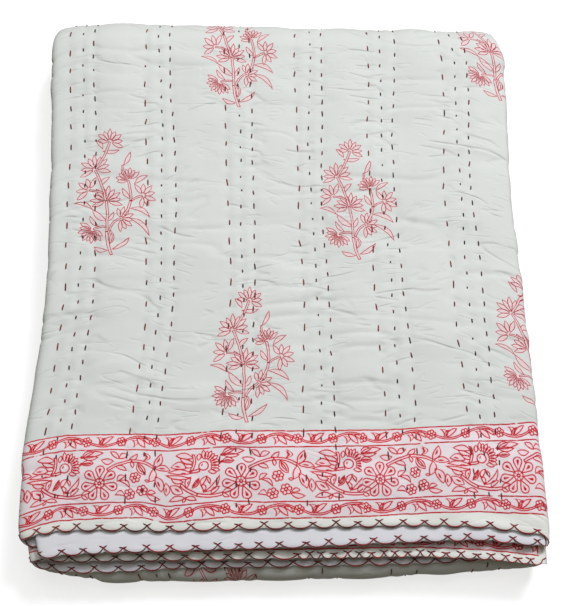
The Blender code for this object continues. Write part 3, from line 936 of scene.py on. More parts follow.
def folded_round(place, centre, count, start=0.0):
    """A place about a centre, turned into the sector of one of count petals: distance from the
    centre, and a point along and beside that petal's middle line."""
    offset = place - centre
    x, y, _ = offset.parts()
    angle = maths("ARCTAN2", y, x) - math.radians(start)
    angle = maths("WRAP", angle, math.pi / count, -math.pi / count)
    distance = maths("LENGTH", offset)
    return distance, joined(maths("COSINE", angle), abs(maths("SINE", angle))) * distance


def rosette(place, centre, size=1.0, count=6):
    """Outline of a small round flower: round petals about a ring. Its radius is 6 at size 1."""
    distance, point = folded_round(place, centre, count, ROSETTE_TURN)
    petal = maths("DISTANCE", point, (ROSETTE_PETAL_AT * size, 0, 0)) - ROSETTE_PETAL * size
    return least(abs(petal), abs(distance - ROSETTE_RING * size))


def drop(point, foot, middle, radius):
    """How far outside a drop: a circle about its middle, and the two lines that touch it from
    its pointed foot."""
    sine = radius / (middle - foot)
    wedge = maths("DOT_PRODUCT", point - (foot, 0, 0), (-sine, math.sqrt(1 - sine * sine), 0))
    past = point.parts()[0] - (middle - radius * sine)
    return least(maths("DISTANCE", point, (middle, 0, 0)) - radius, most(wedge, past))


# The sprig, from the foot of its stem, in millimetres.
# x, y, petals, first angle, last angle, length, width, and from the middle to a petal's foot
SPRIG_FLOWERS = (
    (-4.4, 146.0, 8, -24, 170, 14.5, 4.8, 3.0),
    (-22.2, 110.5, 9, -12, 202, 17.0, 5.0, 3.0),
    (-28.0, 83.0, 5, 68, 214, 15.5, 5.2, 3.0),
    (-7.8, 68.3, 10, -15, 198, 17.0, 5.0, 3.0),
    (-23.3, 32.8, 10, 150, 322, 15.0, 4.8, 3.0),
    (11.1, 44.4, 8, -92, 108, 14.0, 4.8, 2.5),
    (36.7, 76.1, 7, -97, 125, 14.5, 5.0, 2.5),
    (20.0, 95.0, 8, 42, 188, 13.5, 4.6, 3.0),
)
# x, y, angle, length, width, bend
SPRIG_LEAVES = (
    (-4.4, 3.9, 161, 17.5, 4.8, 0.10),
    (1.7, 5.6, 35, 24.5, 4.8, -0.08),
    (-2.5, 12.0, 84, 17.5, 7.5, -0.06),
    (-2.0, 13.5, 82, 13.0, 3.2, -0.04),
    (-5.0, 41.0, 63, 14.5, 4.6, -0.08),
    (-6.0, 42.0, 138, 25.0, 6.6, 0.08),
    (-25.0, 59.0, 156, 23.0, 4.2, -0.12),
    (-16.7, 36.0, 128, 17.0, 4.4, 0.10),
    (22.0, 45.0, -42, 31.0, 5.4, 0.14),
    (22.2, 59.0, -25, 26.0, 5.8, 0.14),
    (26.7, 91.0, 35, 19.0, 5.0, 0.08),
    (13.3, 115.0, 66, 19.0, 5.0, -0.06),
    (21.0, 71.7, 125, 15.5, 5.0, 0.06),
    (-13.3, 137.8, 127, 14.6, 4.6, -0.08),
    (-12.8, 134.4, 2, 20.0, 4.6, -0.08),
    (-14.4, 87.8, 49, 16.0, 4.8, 0.10),
)
SPRIG_STEMS = (
    (0.5, -1.0, 102, 30.0, 3.0, 0.05),
    (-5.5, 28.0, 93, 41.0, 2.6, -0.02),
    (-2.5, 29.5, 49, 20.5, 2.2, 0.12),
    (15.0, 50.0, 70, 20.5, 2.6, -0.06),
    (22.2, 69.0, 97, 26.0, 2.4, -0.04),
    (22.5, 68.5, 27, 15.0, 2.0, 0.08),
    (-7.8, 68.3, 109, 44.0, 2.4, -0.03),
    (-21.5, 112.0, 64, 38.0, 2.4, -0.05),
    (-11.0, 78.0, 164, 18.0, 1.8, -0.06),
    (-6.5, 34.0, 184, 16.0, 1.8, -0.08),
    (19.0, 97.0, 112, 19.0, 1.8, 0.10),
)


def sprig_print(place):
    """The sprig, from a place in millimetres: distance to its lines, and how far outside it."""
    table = [row for flower in SPRIG_FLOWERS for row in petals(*flower)] + list(SPRIG_LEAVES)
    line, outside = leaves_behind_stems(place, table, SPRIG_STEMS)
    return {"Line": line, "Outside": outside}


# The border, in millimetres: along from a daisy's middle, and in from the edge
OUTER_LINE, LOWER_LINE, UPPER_LINE, INNER_LINE = 11.0, 29.2, 91.2, 110.0
DAISY_UP = 22.5  # over the lower line, as are all y of the main band
DAISY_PETALS, DAISY_TURN = 7, 88.0
DAISY_PETAL, DAISY_DROP = (5.0, 15.6, 4.7), (10.5, 16.0, 1.6)  # foot, middle of the round, radius
SMALL_ROSETTE, ROUND_RADIUS = 0.9, 5.2
UPPER_BAND_IN = 0.5  # the upper narrow band's drawing lies this much further in
ROSETTES = ((39.7, 28.8), (48.1, 13.6), (33.9, 9.5))
SCROLL = (-40.6, 41.6)
BLOCK_START, BLOCK_PERIOD = -95.0, BLOCK_LENGTH * 1000
# x, y, angle, length, width, bend
MAIN_LEAVES = (
    (-19.5, 9.0, 25, 10.0, 3.8, 0.08),
    (-19.5, 9.0, -32, 8.0, 3.6, -0.08),
    (-32.2, 9.4, 41, 11.5, 4.8, 0.10),
    (-40.0, 11.6, 112, 10.5, 3.8, -0.20),
    (-43.0, 18.5, 62, 12.5, 4.6, 0.12),
    (-38.0, 28.5, -60, 9.0, 2.8, 0.10),
    (-39.0, 12.0, 48, 23.0, 4.8, -0.14),
    (-52.6, 17.2, 58, 13.0, 4.8, -0.08),
    (-51.2, 19.0, 58, 9.0, 1.6, -0.08),
    (-60.0, 7.0, 185, 17.5, 5.6, -0.08),
    (-60.0, 7.0, -14, 12.5, 4.4, 0.08),
    (-59.5, 7.5, 232, 6.0, 3.0, 0.0),
    (-96.4, 42.7, 61, 17.5, 7.8, -0.08),
    (-96.2, 40.5, 254, 16.5, 7.6, 0.10),
    (-101.0, 24.5, 172, 5.0, 2.6, 0.0),
    (-76.7, 43.0, -8, 17.0, 8.2, 0.14),
    (-95.0, 41.5, -6, 17.5, 6.6, 0.08),
    (-79.4, 37.0, -6, 25.5, 5.4, 0.05),
    (-81.7, 33.5, -10, 26.5, 4.4, -0.03),
    (-76.0, 29.5, -19, 14.0, 4.8, -0.08),
    (-94.5, 31.5, -64, 18.5, 8.6, 0.08),
    (-76.7, 22.0, -33, 16.5, 8.8, -0.05),
    (-82.0, 25.0, -86, 14.0, 7.0, 0.05),
    (-58.9, 18.3, 72, 12.5, 5.2, 0.10),
    (15.0, 48.0, 174, 13.5, 6.4, 0.08),
    (20.8, 51.0, 139, 12.5, 5.0, -0.06),
    (21.0, 51.5, 25, 11.0, 5.6, 0.10),
    (31.7, 48.8, 37, 12.5, 5.0, -0.08),
    (18.3, 41.5, -19, 12.0, 4.8, 0.08),
    (34.4, 47.5, -70, 7.5, 3.8, 0.10),
    (42.2, 46.0, -57, 16.5, 7.6, -0.05),
    (43.2, 44.2, -57, 11.5, 2.2, -0.05),
    (49.3, 49.0, 84, 9.5, 4.6, -0.42),
    (49.5, 50.0, 88, 6.5, 1.6, -0.36),
    (-20.5, 53.4, 25, 14.0, 5.4, 0.10),
    (-20.0, 53.2, 12, 23.5, 6.4, 0.04),
    (-19.5, 53.0, 0, 17.0, 5.0, -0.06),
    (-20.5, 45.5, 2, 13.0, 6.4, 0.05),
    (-19.0, 45.7, 2, 9.0, 1.6, 0.0),
    (-46.7, 48.8, 79, 7.8, 4.2, 0.0),
    (-35.6, 35.0, -12, 9.0, 4.6, 0.06),
    (-52.6, 51.5, 169, 19.5, 6.6, -0.06),
    (-52.2, 46.0, 158, 15.5, 4.8, 0.06),
    (-52.2, 42.0, 160, 11.0, 4.2, 0.06),
    (19.8, 24.6, 38, 10.5, 4.8, 0.14),
    (22.5, 24.8, -32, 13.5, 3.8, 0.20),
    (28.5, 7.5, 172, 10.5, 5.2, -0.28),
    (54.0, 10.8, 14, 9.5, 4.4, 0.10),
    (53.5, 9.0, -11, 15.0, 5.4, -0.08),
)
FAN = petals(*SCROLL, 9, -20, 92, 10.5, 4.2, 8.2)
MAIN_STEMS = (
    (8.5, 38.3, 21.4, 29.0, 2.8, 0.04),
    (35.0, 48.4, -14.5, 26.0, 2.8, 0.08),
    (-65.5, 22.5, -35.0, 22.5, 2.9, -0.06),
    (-47.5, 9.6, -2.0, 28.0, 2.9, -0.06),
    (-55.0, 36.5, 81.0, 19.0, 2.8, -0.12),
    (-55.0, 36.5, 4.0, 10.0, 2.8, -0.06),
)
# Solid drops in the leaves, knots and flowers: the same columns
MAIN_DROPS = (
    (-93.7, 47.5, 61, 8.0, 2.2, -0.06),
    (-97.2, 37.0, 254, 8.0, 2.4, 0.08),
    (-73.0, 43.8, -12, 7.0, 1.8, 0.0),
    (-91.0, 41.8, -6, 8.0, 1.8, 0.0),
    (-66.0, 35.4, -6, 7.0, 1.8, 0.0),
    (-92.0, 26.5, -64, 7.5, 2.2, 0.0),
    (-72.5, 19.0, -33, 7.5, 2.2, 0.0),
    (-82.0, 20.5, -86, 6.0, 1.8, 0.0),
    (-23.5, 53.0, 8, 6.5, 3.6, 0.0),
    (-23.5, 45.4, 4, 6.0, 3.2, 0.0),
    (-41.5, 12.6, 20, 5.0, 3.0, 0.0),
    (-58.2, 22.0, 72, 4.5, 1.4, 0.0),
    (-43.0, 41.0, 70, 4.0, 1.6, 0.0),
    (-61.5, 7.2, 10, 4.0, 2.2, 0.0),
)
NARROW_PERIOD = BLOCK_PERIOD / 2
NARROW_START = -17.0  # of a rosette, from the daisy
ROSETTE_UP = 9.3  # over the lower line of a narrow band
NARROW_LEAVES = (
    (14.0, 6.2, 108, 9.5, 4.2, -0.42),
    (18.0, 5.5, 41, 15.0, 4.8, 0.08),
    (16.0, 5.5, 64, 9.5, 2.6, 0.10),
    (51.5, 11.0, -72, 8.5, 4.0, 0.42),
    (56.0, 13.0, -44, 15.0, 5.4, 0.06),
    (62.5, 13.6, -36, 12.0, 3.6, 0.08),
)
NARROW_STEMS = (
    (3.5, 8.6, 0, 32.5, 2.0, -0.14),
    (42.5, 10.6, 0, 32.5, 2.0, 0.13),
)


def repeated(table):
    """Rows of one block, with a copy beside it of each row that reaches over an end."""
    copies = []
    for x, *rest in table:
        reach = rest[2] + rest[3]
        copies.append((x, *rest))
        if x + reach > BLOCK_START + BLOCK_PERIOD:
            copies.append((x - BLOCK_PERIOD, *rest))
        if x - reach < BLOCK_START:
            copies.append((x + BLOCK_PERIOD, *rest))
    return copies


def border_print(place):
    """The border, from a place in millimetres: the same distances as the sprig, and those to its
    straight lines and to its solid drops."""
    along, inward, _ = place.parts()

    # Main band
    x = maths("WRAP", along, BLOCK_START + BLOCK_PERIOD, BLOCK_START)
    main = joined(x, inward - LOWER_LINE)
    line, outside = leaves_behind_stems(main, repeated(MAIN_LEAVES) + FAN, repeated(MAIN_STEMS))
    _, solid = leaves(main, MAIN_DROPS)
    for spot in ROSETTES:
        line = least(line, rosette(main, (*spot, 0)))
        outside = least(outside, maths("DISTANCE", main, (*spot, 0)) - ROUND_RADIUS)
    scroll = maths("DISTANCE", main, (*SCROLL, 0))
    _, point = folded_round(main, (0, DAISY_UP, 0), DAISY_PETALS, DAISY_TURN)
    petal = drop(point, *DAISY_PETAL)
    daisy = rosette(main, (0, DAISY_UP, 0), SMALL_ROSETTE, DAISY_PETALS)
    line = least(line, abs(scroll - ROUND_RADIUS), abs(petal), daisy)

    # Narrow bands, both read from the same drawing
    upper = maths("GREATER_THAN", inward, (LOWER_LINE + UPPER_LINE) / 2)
    band_start = maths("MULTIPLY_ADD", upper, UPPER_LINE + UPPER_BAND_IN - OUTER_LINE, OUTER_LINE)
    up, beside = inward - band_start, along - NARROW_START
    narrow = joined(maths("WRAP", beside, NARROW_PERIOD, 0.0), up)
    narrow_line, narrow_outside = leaves(narrow, NARROW_LEAVES)
    bar_line, bar_outside = leaves(narrow, NARROW_STEMS, bars=True)
    x = maths("WRAP", beside, NARROW_PERIOD / 4, -NARROW_PERIOD / 4)
    flower = rosette(joined(x, up), (0, ROSETTE_UP, 0), SMALL_ROSETTE)
    rules = [abs(inward - level) for level in (OUTER_LINE, LOWER_LINE, UPPER_LINE, INNER_LINE)]
    return {
        "Line": least(line, narrow_line, bar_line, flower),
        "Outside": least(outside, petal, narrow_outside, bar_outside),
        "Rule": least(*rules),
        "Solid": least(solid, drop(point, *DAISY_DROP)),
    }


# ----------------------------------------------------------------------------------------------
# The cotton. A thin plain weave, white with a breath of green on the printed side and of blue
# on the reverse, and cream along the hems. The red of the print is uneven, as a block lays it.
# ----------------------------------------------------------------------------------------------
GROUND, REVERSE_WHITE = colour(213, 215, 211), colour(223, 222, 227)
HEM_CREAM = colour(232, 232, 226)
CLOUDED = 0.965  # the ground's darker clouds, as a share of its colour
TINTED, WASH = colour(227, 216, 219), colour(253, 172, 184)
SPRIG_INKS = colour(170, 44, 60), colour(164, 0, 18)  # where the block took little, and took well
BORDER_INKS = colour(188, 2, 32), colour(198, 0, 20)
SPRIG_LINE, BORDER_LINE = (0.43, 0.29), (0.70, 0.32)  # half a line in millimetres, share of wash
BLEEDS_TO = 2.1  # millimetres from a line's middle
SHAKEN = 1.6  # millimetres
THREAD_PITCH = 0.0006  # of the weave
WEAVE_DEPTH = 0.000048
# Of the fine creases: repeats a metre across and along, depth, and where their patches begin
FINE_CREASES = ((13.0, 50.0, 0.00085, 0.50), (22.0, 90.0, 0.00034, 0.52))
CREASE_BOW = 0.05
SPRIG_CREASED, BORDER_CREASED, REVERSE_CREASED = 1.0, 0.45, 0.25  # share of those depths


def plain_weave(cloth):
    """The weave's height, from metres on the cloth: threads over and under, with slubs."""
    u, v, _ = (cloth * (2 * math.pi / THREAD_PITCH)).parts()
    slubs = noise(cloth * (90, 1600, 1), 1.0) + noise(cloth * (1600, 90, 1), 1.0)
    return {"Height": maths("MULTIPLY_ADD", maths("SINE", u) * maths("SINE", v), 0.25, slubs)}


def fine_creases(cloth):
    """Fine creases across the quilted face, as a height in metres: thin lines along the level
    places of a drawn-out noise, kept only in patches."""
    bowed = cloth + joined(0.0, noise(cloth, 7.0, 0.0) * CREASE_BOW)
    cuts = []
    for long, wide, depth, low in FINE_CREASES:
        line = ramp(abs(noise(bowed * (long, wide, 1), 1.0, 0.5) - 0.5), 0.075, 0.0)
        patch = noise(bowed * (long * 1.6, wide * 0.5, 1), 1.0, 0.0)
        cuts.append(line * ramp(patch, low, low + 0.10, 0.0, -depth))
    return {"Height": cuts[0] + cuts[1]}


def read_map(tree, name):
    return Reading(add_node(tree, "UVMap", uv_map=name)[0])


def drawn(group, place):
    """The numbers that a node group gives at a place, by their names."""
    outputs = add_node(place.tree, "Group", [(0, place)], node_tree=group)
    return {output.name: Reading(output) for output in outputs}


def bumped(height, strength, distance):
    """A shader's Normal over a height."""
    inputs = ("Strength", strength), ("Distance", distance), ("Height", height)
    return Reading(add_node(height.tree, "Bump", inputs)[0])


def new_material(name, settings):
    """A material with its shader's plain settings, and the shader's inputs."""
    material = bpy.data.materials.new(name)
    material.use_nodes = True
    inputs = material.node_tree.nodes["Principled BSDF"].inputs
    for label, value in settings.items():
        inputs[label].default_value = value
    return material, inputs


def add_object(name, data):
    item = bpy.data.objects.new(name, data)
    bpy.context.scene.collection.objects.link(item)
    return item


COTTON_FINISH = {
    "Roughness": 0.88,
    "Specular IOR Level": 0.25,
    "Sheen Weight": 0.15,
    "Sheen Roughness": 0.6,
}


def cotton(name, ground, creased, dye=None):
    """Cotton of one ground colour, with its creases at a share of their full depth. dye, if
    given, adds the print: it takes the ground and the cloth's map, and gives the printed colour."""
    material, shader = new_material(name, COTTON_FINISH)
    cloth = read_map(material.node_tree, "cloth")
    clouds = ramp(noise(cloth, 9.0, 3.0), 0.35, 0.70)
    shade = blended(clouds, ground, (*(CLOUDED * part for part in ground[:3]), 1))
    feed(shader["Base Color"], dye(shade, cloth) if dye else shade)
    woven = drawn(WEAVE, cloth)["Height"] * WEAVE_DEPTH
    height = woven + drawn(CREASES, cloth)["Height"] * creased
    feed(shader["Normal"], bumped(height, 1.0, 1.0))
    return material


def print_place(cloth):
    """The print's place in millimetres, shaken as a carved line is."""
    shake = noise(cloth, 90.0, 1.0, "Color") - (0.5, 0.5, 0.5)
    return read_map(cloth.tree, "print") * 1000.0 + shake * SHAKEN


def inked(cloth, ground, inks, line_and_wash, line, outside, *more_ink):
    """Colour of the print: faint inside the shapes and where the lines bleed into the cloth, and
    red on the lines where the block took, and where there is more ink."""
    half_line, wash = line_and_wash
    inside = ramp(outside, 0.2, -0.2) * wash
    bled = ramp(line, BLEEDS_TO, half_line, 0.0, wash)
    washed = blended(most(inside, bled), ground, WASH)
    ink = most(ramp(line, half_line + 0.20, half_line - 0.20), *more_ink)
    taken = ramp(noise(cloth, 14.0), 0.42, 0.58)
    grain = ramp(noise(cloth, 420.0), 0.30, 0.50, 0.70, 1.0)
    return blended(ink * grain, washed, blended(taken, *inks))


def sprig_dye(ground, cloth):
    shape = drawn(SPRIG, print_place(cloth))
    return inked(cloth, ground, SPRIG_INKS, SPRIG_LINE, shape["Line"], shape["Outside"])


def border_dye(ground, cloth):
    """The border, which also has its outer line across its end, with nothing printed past it."""
    place = print_place(cloth)
    shape = drawn(BORDER_BLOCK, place)
    u = (cloth * 1000.0).parts()[0]
    from_side = least(u, CLOTH_WIDTH * 1000 - u)
    framed = least(place.parts()[1], from_side)
    rule = ramp(least(shape["Rule"], abs(from_side - OUTER_LINE)), 1.0, 0.60)
    rule = rule * ramp(noise(cloth, 60.0), 0.30, 0.36)
    rule = rule * ramp(framed, OUTER_LINE - 1.2, OUTER_LINE - 1.0)
    off_print = ramp(framed, OUTER_LINE, OUTER_LINE - 0.1)
    line = maths("MULTIPLY_ADD", off_print, 9.0, shape["Line"])
    tinted = blended(ramp(framed, INNER_LINE + 1.0, INNER_LINE), ground, TINTED)
    ground = blended(ramp(framed, OUTER_LINE - 0.3, OUTER_LINE + 0.3), HEM_CREAM, tinted)
    solid = ramp(shape["Solid"], 0.15, -0.15)
    return inked(cloth, ground, BORDER_INKS, BORDER_LINE, line, shape["Outside"], solid, rule)


WEAVE = new_group("plain weave", "Cloth", plain_weave)
CREASES = new_group("fine creases", "Cloth", fine_creases)
SPRIG = new_group("sprig print", "Place", sprig_print)
BORDER_BLOCK = new_group("border print", "Place", border_print)

quilt = add_object("quilt_cloth", quilt_mesh())
for cotton_of_part in (
    cotton("printed cotton", GROUND, SPRIG_CREASED, sprig_dye),
    cotton("bordered cotton", GROUND, BORDER_CREASED, border_dye),
    cotton("reverse cotton", REVERSE_WHITE, REVERSE_CREASED),
):
    quilt.data.materials.append(cotton_of_part)
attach(quilt, "root")
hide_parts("quilt")


# ----------------------------------------------------------------------------------------------
# The sewing thread, dark red and brown cotton. Running stitches lie in the grooves of the
# quilting where they show, and along each hem one thread goes in scallops whose ends cross.
# ----------------------------------------------------------------------------------------------
THREAD_SIDES = 5
STITCH_RADIUS, CROSS_RADIUS = 0.00092, 0.00072
THREAD_BROWN, THREAD_RUST = colour(34, 18, 18), colour(134, 36, 10)
HEM_DARK, HEM_RED = colour(78, 6, 8), colour(150, 8, 10)
ROW_TONES = (0.75, 0.15, 0.35)  # share of rust in the left, middle and right row of a group
TONE_VARIES = 0.22
LEAN_VARIES, ASTRAY = 0.09, 0.0005  # of a stitch, beside its row
LEAN_SEED, TONE_SEED = 900, 42  # of the random draws for each row, and for the hems
BELOW = 0.001
HEM_CLEAR, LOWER_SHOWN, SECOND_SHOWN = 0.012, 0.05, 0.04  # distances from a hem


def thread_mesh(name, paths, normals, radii):
    """Many threads as one mesh. Each is a tube round its path: rings of points about each
    station, as far out as radii says, closed by a point at either end."""
    count, length, _ = paths.shape
    runs = np.gradient(paths, axis=1)
    runs /= np.linalg.norm(runs, axis=2, keepdims=True)
    beside = np.cross(runs, normals)
    beside /= np.linalg.norm(beside, axis=2, keepdims=True)
    above = np.cross(beside, runs)
    angles = (2 * np.pi * np.arange(THREAD_SIDES) / THREAD_SIDES)[:, None]
    out = np.cos(angles) * beside[:, 1:-1, None] + np.sin(angles) * above[:, 1:-1, None]
    rings = paths[:, 1:-1, None] + out * radii[None, 1:-1, None, None]
    each = (length - 2) * THREAD_SIDES + 2
    points = np.concatenate([paths[:, :1], rings.reshape(count, -1, 3), paths[:, -1:]], axis=1)
    ring = 1 + np.arange((length - 2) * THREAD_SIDES).reshape(length - 2, THREAD_SIDES)
    turned = np.roll(ring, -1, axis=1)
    walls = np.stack([ring[:-1], turned[:-1], turned[1:], ring[1:]], axis=-1).reshape(-1, 4)
    first = np.stack([np.zeros(THREAD_SIDES, int), turned[0], ring[0]], axis=-1)
    last = np.stack([np.full(THREAD_SIDES, each - 1), ring[-1], turned[-1]], axis=-1)
    start = each * np.arange(count)[:, None, None]
    faces = (walls + start).reshape(-1, 4).tolist()
    faces += (np.concatenate([first, last]) + start).reshape(-1, 3).tolist()
    mesh = bpy.data.meshes.new(name)
    mesh.from_pydata(points.reshape(-1, 3), [], faces)
    mesh.shade_smooth()
    return mesh, each


def place_on_face(u, v, printed, lift):
    """Points over a face of the cloth, and the way that the face looks there."""
    drawn_in = hem_shape(u, v)[1]
    sign = 1.0 if printed else -1.0
    height = face_height(u, v, printed)
    on_face = on_cloth(u, v + drawn_in, height + sign * lift)
    out = on_face - on_cloth(u, v + drawn_in, height - sign * BELOW)
    return on_face, out / np.linalg.norm(out, axis=-1, keepdims=True)


def thread_material(name, first, second):
    """Twisted cotton thread: each stitch has its own tone, and its fibres show on it."""
    material, shader = new_material(name, {"Roughness": 0.75, "Sheen Weight": 0.1})
    tree = material.node_tree
    tone = Reading(add_node(tree, "Attribute", attribute_name="tone")["Fac"])
    fibre = noise(Reading(add_node(tree, "TexCoord")["Object"]), 2500.0)
    mixed = maths("MULTIPLY_ADD", fibre, 0.5, tone - 0.25)
    feed(shader["Base Color"], blended(mixed, first, second))
    feed(shader["Normal"], bumped(fibre, 0.5, 0.0002))
    return material


def sewn(name, paths, normals, radii, material, tones):
    """A sewing as a piece of the quilt, with a tone for each of its stitches."""
    mesh, each = thread_mesh(name, paths, normals, radii)
    mesh.attributes.new("tone", "FLOAT", "POINT").data.foreach_set("value", np.repeat(tones, each))
    mesh.materials.append(material)
    piece = add_object(name, mesh)
    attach(piece, "root")
    return piece


STITCH_STATIONS = np.array([-1.0, -0.92, -0.6, 0.0, 0.6, 0.92, 1.0])
STITCH_LIFT = np.array([-0.6, -0.1, 0.25, 0.35, 0.25, -0.1, -0.6]) * 0.001
STITCH_THICK = STITCH_RADIUS * np.array([0.0, 0.65, 0.95, 1.0, 0.95, 0.65, 0.0])


def running_stitches(shown, printed):
    """Paths, normals and tones of the stitches of all rows for which shown(u, v) holds."""
    found = []
    for row, (place, (middles, halves)) in enumerate(zip(ROWS, STITCHES)):
        keep = shown(place, middles)
        if keep.any():
            middle, half = middles[keep][:, None], halves[keep][:, None]
            rng = np.random.default_rng(LEAN_SEED + row)
            spreads = LEAN_VARIES, ASTRAY, TONE_VARIES
            lean, astray, tone = (rng.normal(0.0, spread, len(middle)) for spread in spreads)
            v = middle + half * STITCH_STATIONS
            leaning = lean[:, None] * half * STITCH_STATIONS
            u = place + row_wander(v, row) + astray[:, None] + leaning
            tone = np.clip(ROW_TONES[row % 3] + tone, 0.0, 1.0)
            found.append((*place_on_face(u, v, printed, STITCH_LIFT), tone))
    return [np.concatenate(arrays) for arrays in zip(*found)]


def on_top_face(u, v):
    """Where the printed side shows on the top, the back fold and the front fold."""
    way = v - hem_lead(u)
    open_way = (way < BACK_END) | ((way > FRONT_START) & (way < FRONT_END))
    return (u > LAYER_4_END) & (u < LAYER_2_START) & open_way


def on_lower_hem(u, v):
    """Where the printed side shows on the top layer of the lower hem."""
    from_hem = CLOTH_LENGTH - v
    return (u < LAYER_4_END) & (from_hem > HEM_CLEAR) & (from_hem < LOWER_SHOWN)


def on_second_layer(u, v):
    """Where the reverse shows in front of the top hem."""
    return (u > LAYER_2_START) & (u < LAYER_2_END) & (v < SECOND_SHOWN) & (v > HEM_CLEAR)


stitch_parts = (
    running_stitches(on_top_face, True),
    running_stitches(on_lower_hem, True),
    running_stitches(on_second_layer, False),
)
paths, normals, tones = (np.concatenate(arrays) for arrays in zip(*stitch_parts))
quilting_thread = thread_material("quilting thread", THREAD_BROWN, THREAD_RUST)
running = sewn("running_stitches", paths, normals, STITCH_THICK, quilting_thread, tones)

CROSS_STATIONS = 15
CROSS_ARM, ARM_DROP = 0.0056, 0.65  # each end passes its cross by this much, and goes on inward
CROSS_RISE, RISE_VARIES = 0.0046, 0.20  # from the edge to a cross, and as a share of that
RISE_REPEATS = 157.0
SCALLOP_BEND = 3.2
EDGE_LOW = 0.0004  # from the edge midway
THREAD_LIFT, END_LIFT = 0.8 * CROSS_RADIUS, -0.0005


def scallops(crosses, on_side, at_end, printed):
    """Threads from one cross to the next: in from the edge by the rise at each cross, by more
    at the ends past it, and by almost none midway. They lie along a side edge or a hem, at the
    start or the end of the cloth, and on one of its faces."""
    start, end = crosses[:-1, None] - CROSS_ARM, crosses[1:, None] + CROSS_ARM
    share = np.linspace(0.0, 1.0, CROSS_STATIONS)
    along = start + (end - start) * share
    off = np.abs(along - (start + end) / 2) / ((end - start) / 2)
    cross_off = 1 - 2 * CROSS_ARM / (end - start)
    past_cross = 1 + ARM_DROP * (off - cross_off) / (1 - cross_off)
    dip = np.where(off < cross_off, (off / cross_off) ** SCALLOP_BEND, past_cross)
    rises = CROSS_RISE * (1 + RISE_VARIES * np.sin(RISE_REPEATS * crosses))
    inward = EDGE_LOW + (rises[:-1, None] * (1 - share) + rises[1:, None] * share) * dip
    lift = np.full_like(along, THREAD_LIFT)
    lift[:, 0] = lift[:, -1] = END_LIFT
    if at_end:
        inward = (CLOTH_WIDTH if on_side else CLOTH_LENGTH) - inward
    u, v = (inward, along) if on_side else (along, inward)
    return place_on_face(u, v, printed, lift)


cross_parts = [
    scallops(crosses, on_side, at_end, printed)
    for crosses, on_side, at_end, faces in (
        (TOP_CROSSES, False, False, (True, False)),
        (LOWER_CROSSES, False, True, (True, False)),
        (FIRST_SIDE_CROSSES, True, False, (True,)),
        (LAST_SIDE_CROSSES, True, True, (True,)),
    )
    for printed in faces
]
paths, normals = (np.concatenate(arrays) for arrays in zip(*cross_parts))
thickness = np.full(CROSS_STATIONS, CROSS_RADIUS)
tones = np.random.default_rng(TONE_SEED).uniform(0.0, 1.0, len(paths))
hem_thread = thread_material("hem thread", HEM_DARK, HEM_RED)
hem_stitches = sewn("hem_stitches", paths, normals, thickness, hem_thread, tones)

# ----------------------------------------------------------------------------------------------
# The view: a plain white floor, soft light from above and behind, and the camera nearly
# overhead in front of the hems.
# ----------------------------------------------------------------------------------------------
VIEW_WAY, VIEW_DOWN, VIEW_ROLL = np.radians((1.58, 71.0, 0.41))
VIEW_TARGET, VIEW_DISTANCE = np.array([0.0063, -0.0425, 0.09]), 1.539
FOCAL_PIXELS, FRAME_PIXELS = 1296, 606
SENSOR = 36.0
FLOOR_HALF = 6.0
LAMP_TINT = (0.975, 1.0, 1.04)
ROOM_LIGHT, ROOM_LEVEL, ROOM_SEEN = (1.0, 0.93, 0.72, 1.0), 0.13, (0.93, 0.93, 0.93, 1.0)

down = math.cos(VIEW_DOWN)
ahead = np.array([math.sin(VIEW_WAY) * down, math.cos(VIEW_WAY) * down, -math.sin(VIEW_DOWN)])
level = np.array([math.cos(VIEW_WAY), -math.sin(VIEW_WAY), 0.0])
upright = np.cross(level, ahead)
right_way = math.cos(VIEW_ROLL) * level + math.sin(VIEW_ROLL) * upright
up_way = math.cos(VIEW_ROLL) * upright - math.sin(VIEW_ROLL) * level

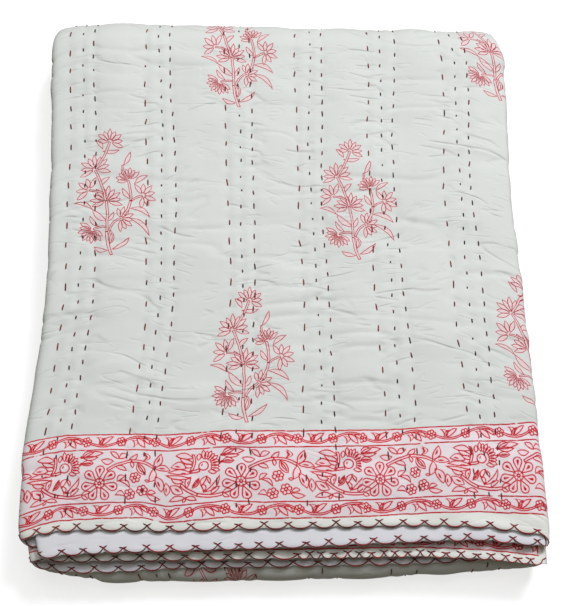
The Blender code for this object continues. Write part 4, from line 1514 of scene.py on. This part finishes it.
lens = bpy.data.cameras.new("camera")
lens.sensor_width = SENSOR
lens.lens = SENSOR * FOCAL_PIXELS / FRAME_PIXELS
lens.clip_start = 0.01
camera = add_object("camera", lens)
turned_to = Matrix((right_way, up_way, -ahead)).transposed().to_4x4()
camera.matrix_world = Matrix.Translation(VIEW_TARGET - ahead * VIEW_DISTANCE) @ turned_to
bpy.context.scene.camera = camera

floor_mesh = bpy.data.meshes.new("floor")
floor_corners = [
    (x * FLOOR_HALF, y * FLOOR_HALF, 0.0) for x, y in ((-1, -1), (1, -1), (1, 1), (-1, 1))
]
floor_mesh.from_pydata(floor_corners, [], [(0, 1, 2, 3)])
floor = add_object("floor", floor_mesh)
floor_finish = {
    "Base Color": (0.42, 0.42, 0.42, 1),
    "Roughness": 0.9,
    "Emission Color": (1, 1, 1, 1),
    "Emission Strength": 0.72,
}
floor_mesh.materials.append(new_material("white floor", floor_finish)[0])
floor.visible_diffuse = False  # it stands for a cut-out background, so it lights nothing

# Square lamps that look at the quilt: place, size and watts
for name, place, size, watts in (
    ("lamp behind", (1.3, 1.8, 3.6), 1.0, 124),
    ("lamp above", (0.0, 0.8, 3.6), 2.0, 46),
):
    light = bpy.data.lights.new(name, "AREA")
    light.size = size
    light.energy = watts
    light.color = LAMP_TINT
    turned_to = Vector(place).to_track_quat("Z", "Y").to_matrix().to_4x4()
    add_object(name, light).matrix_world = Matrix.Translation(place) @ turned_to

# The room gives a little warm light, and looks pale behind the floor
world = bpy.data.worlds.new("room")
bpy.context.scene.world = world
world.use_nodes = True
room = world.node_tree
lit, seen = room.nodes["Background"], room.nodes.new("ShaderNodeBackground")
lit.inputs["Color"].default_value = ROOM_LIGHT
lit.inputs["Strength"].default_value = ROOM_LEVEL
seen.inputs["Color"].default_value = ROOM_SEEN
either = room.nodes.new("ShaderNodeMixShader")
room.links.new(room.nodes.new("ShaderNodeLightPath").outputs["Is Camera Ray"], either.inputs["Fac"])
room.links.new(lit.outputs[0], either.inputs[1])
room.links.new(seen.outputs[0], either.inputs[2])
room.links.new(either.outputs[0], room.nodes["World Output"].inputs["Surface"])
bpy.context.scene.view_settings.view_transform = "Standard"
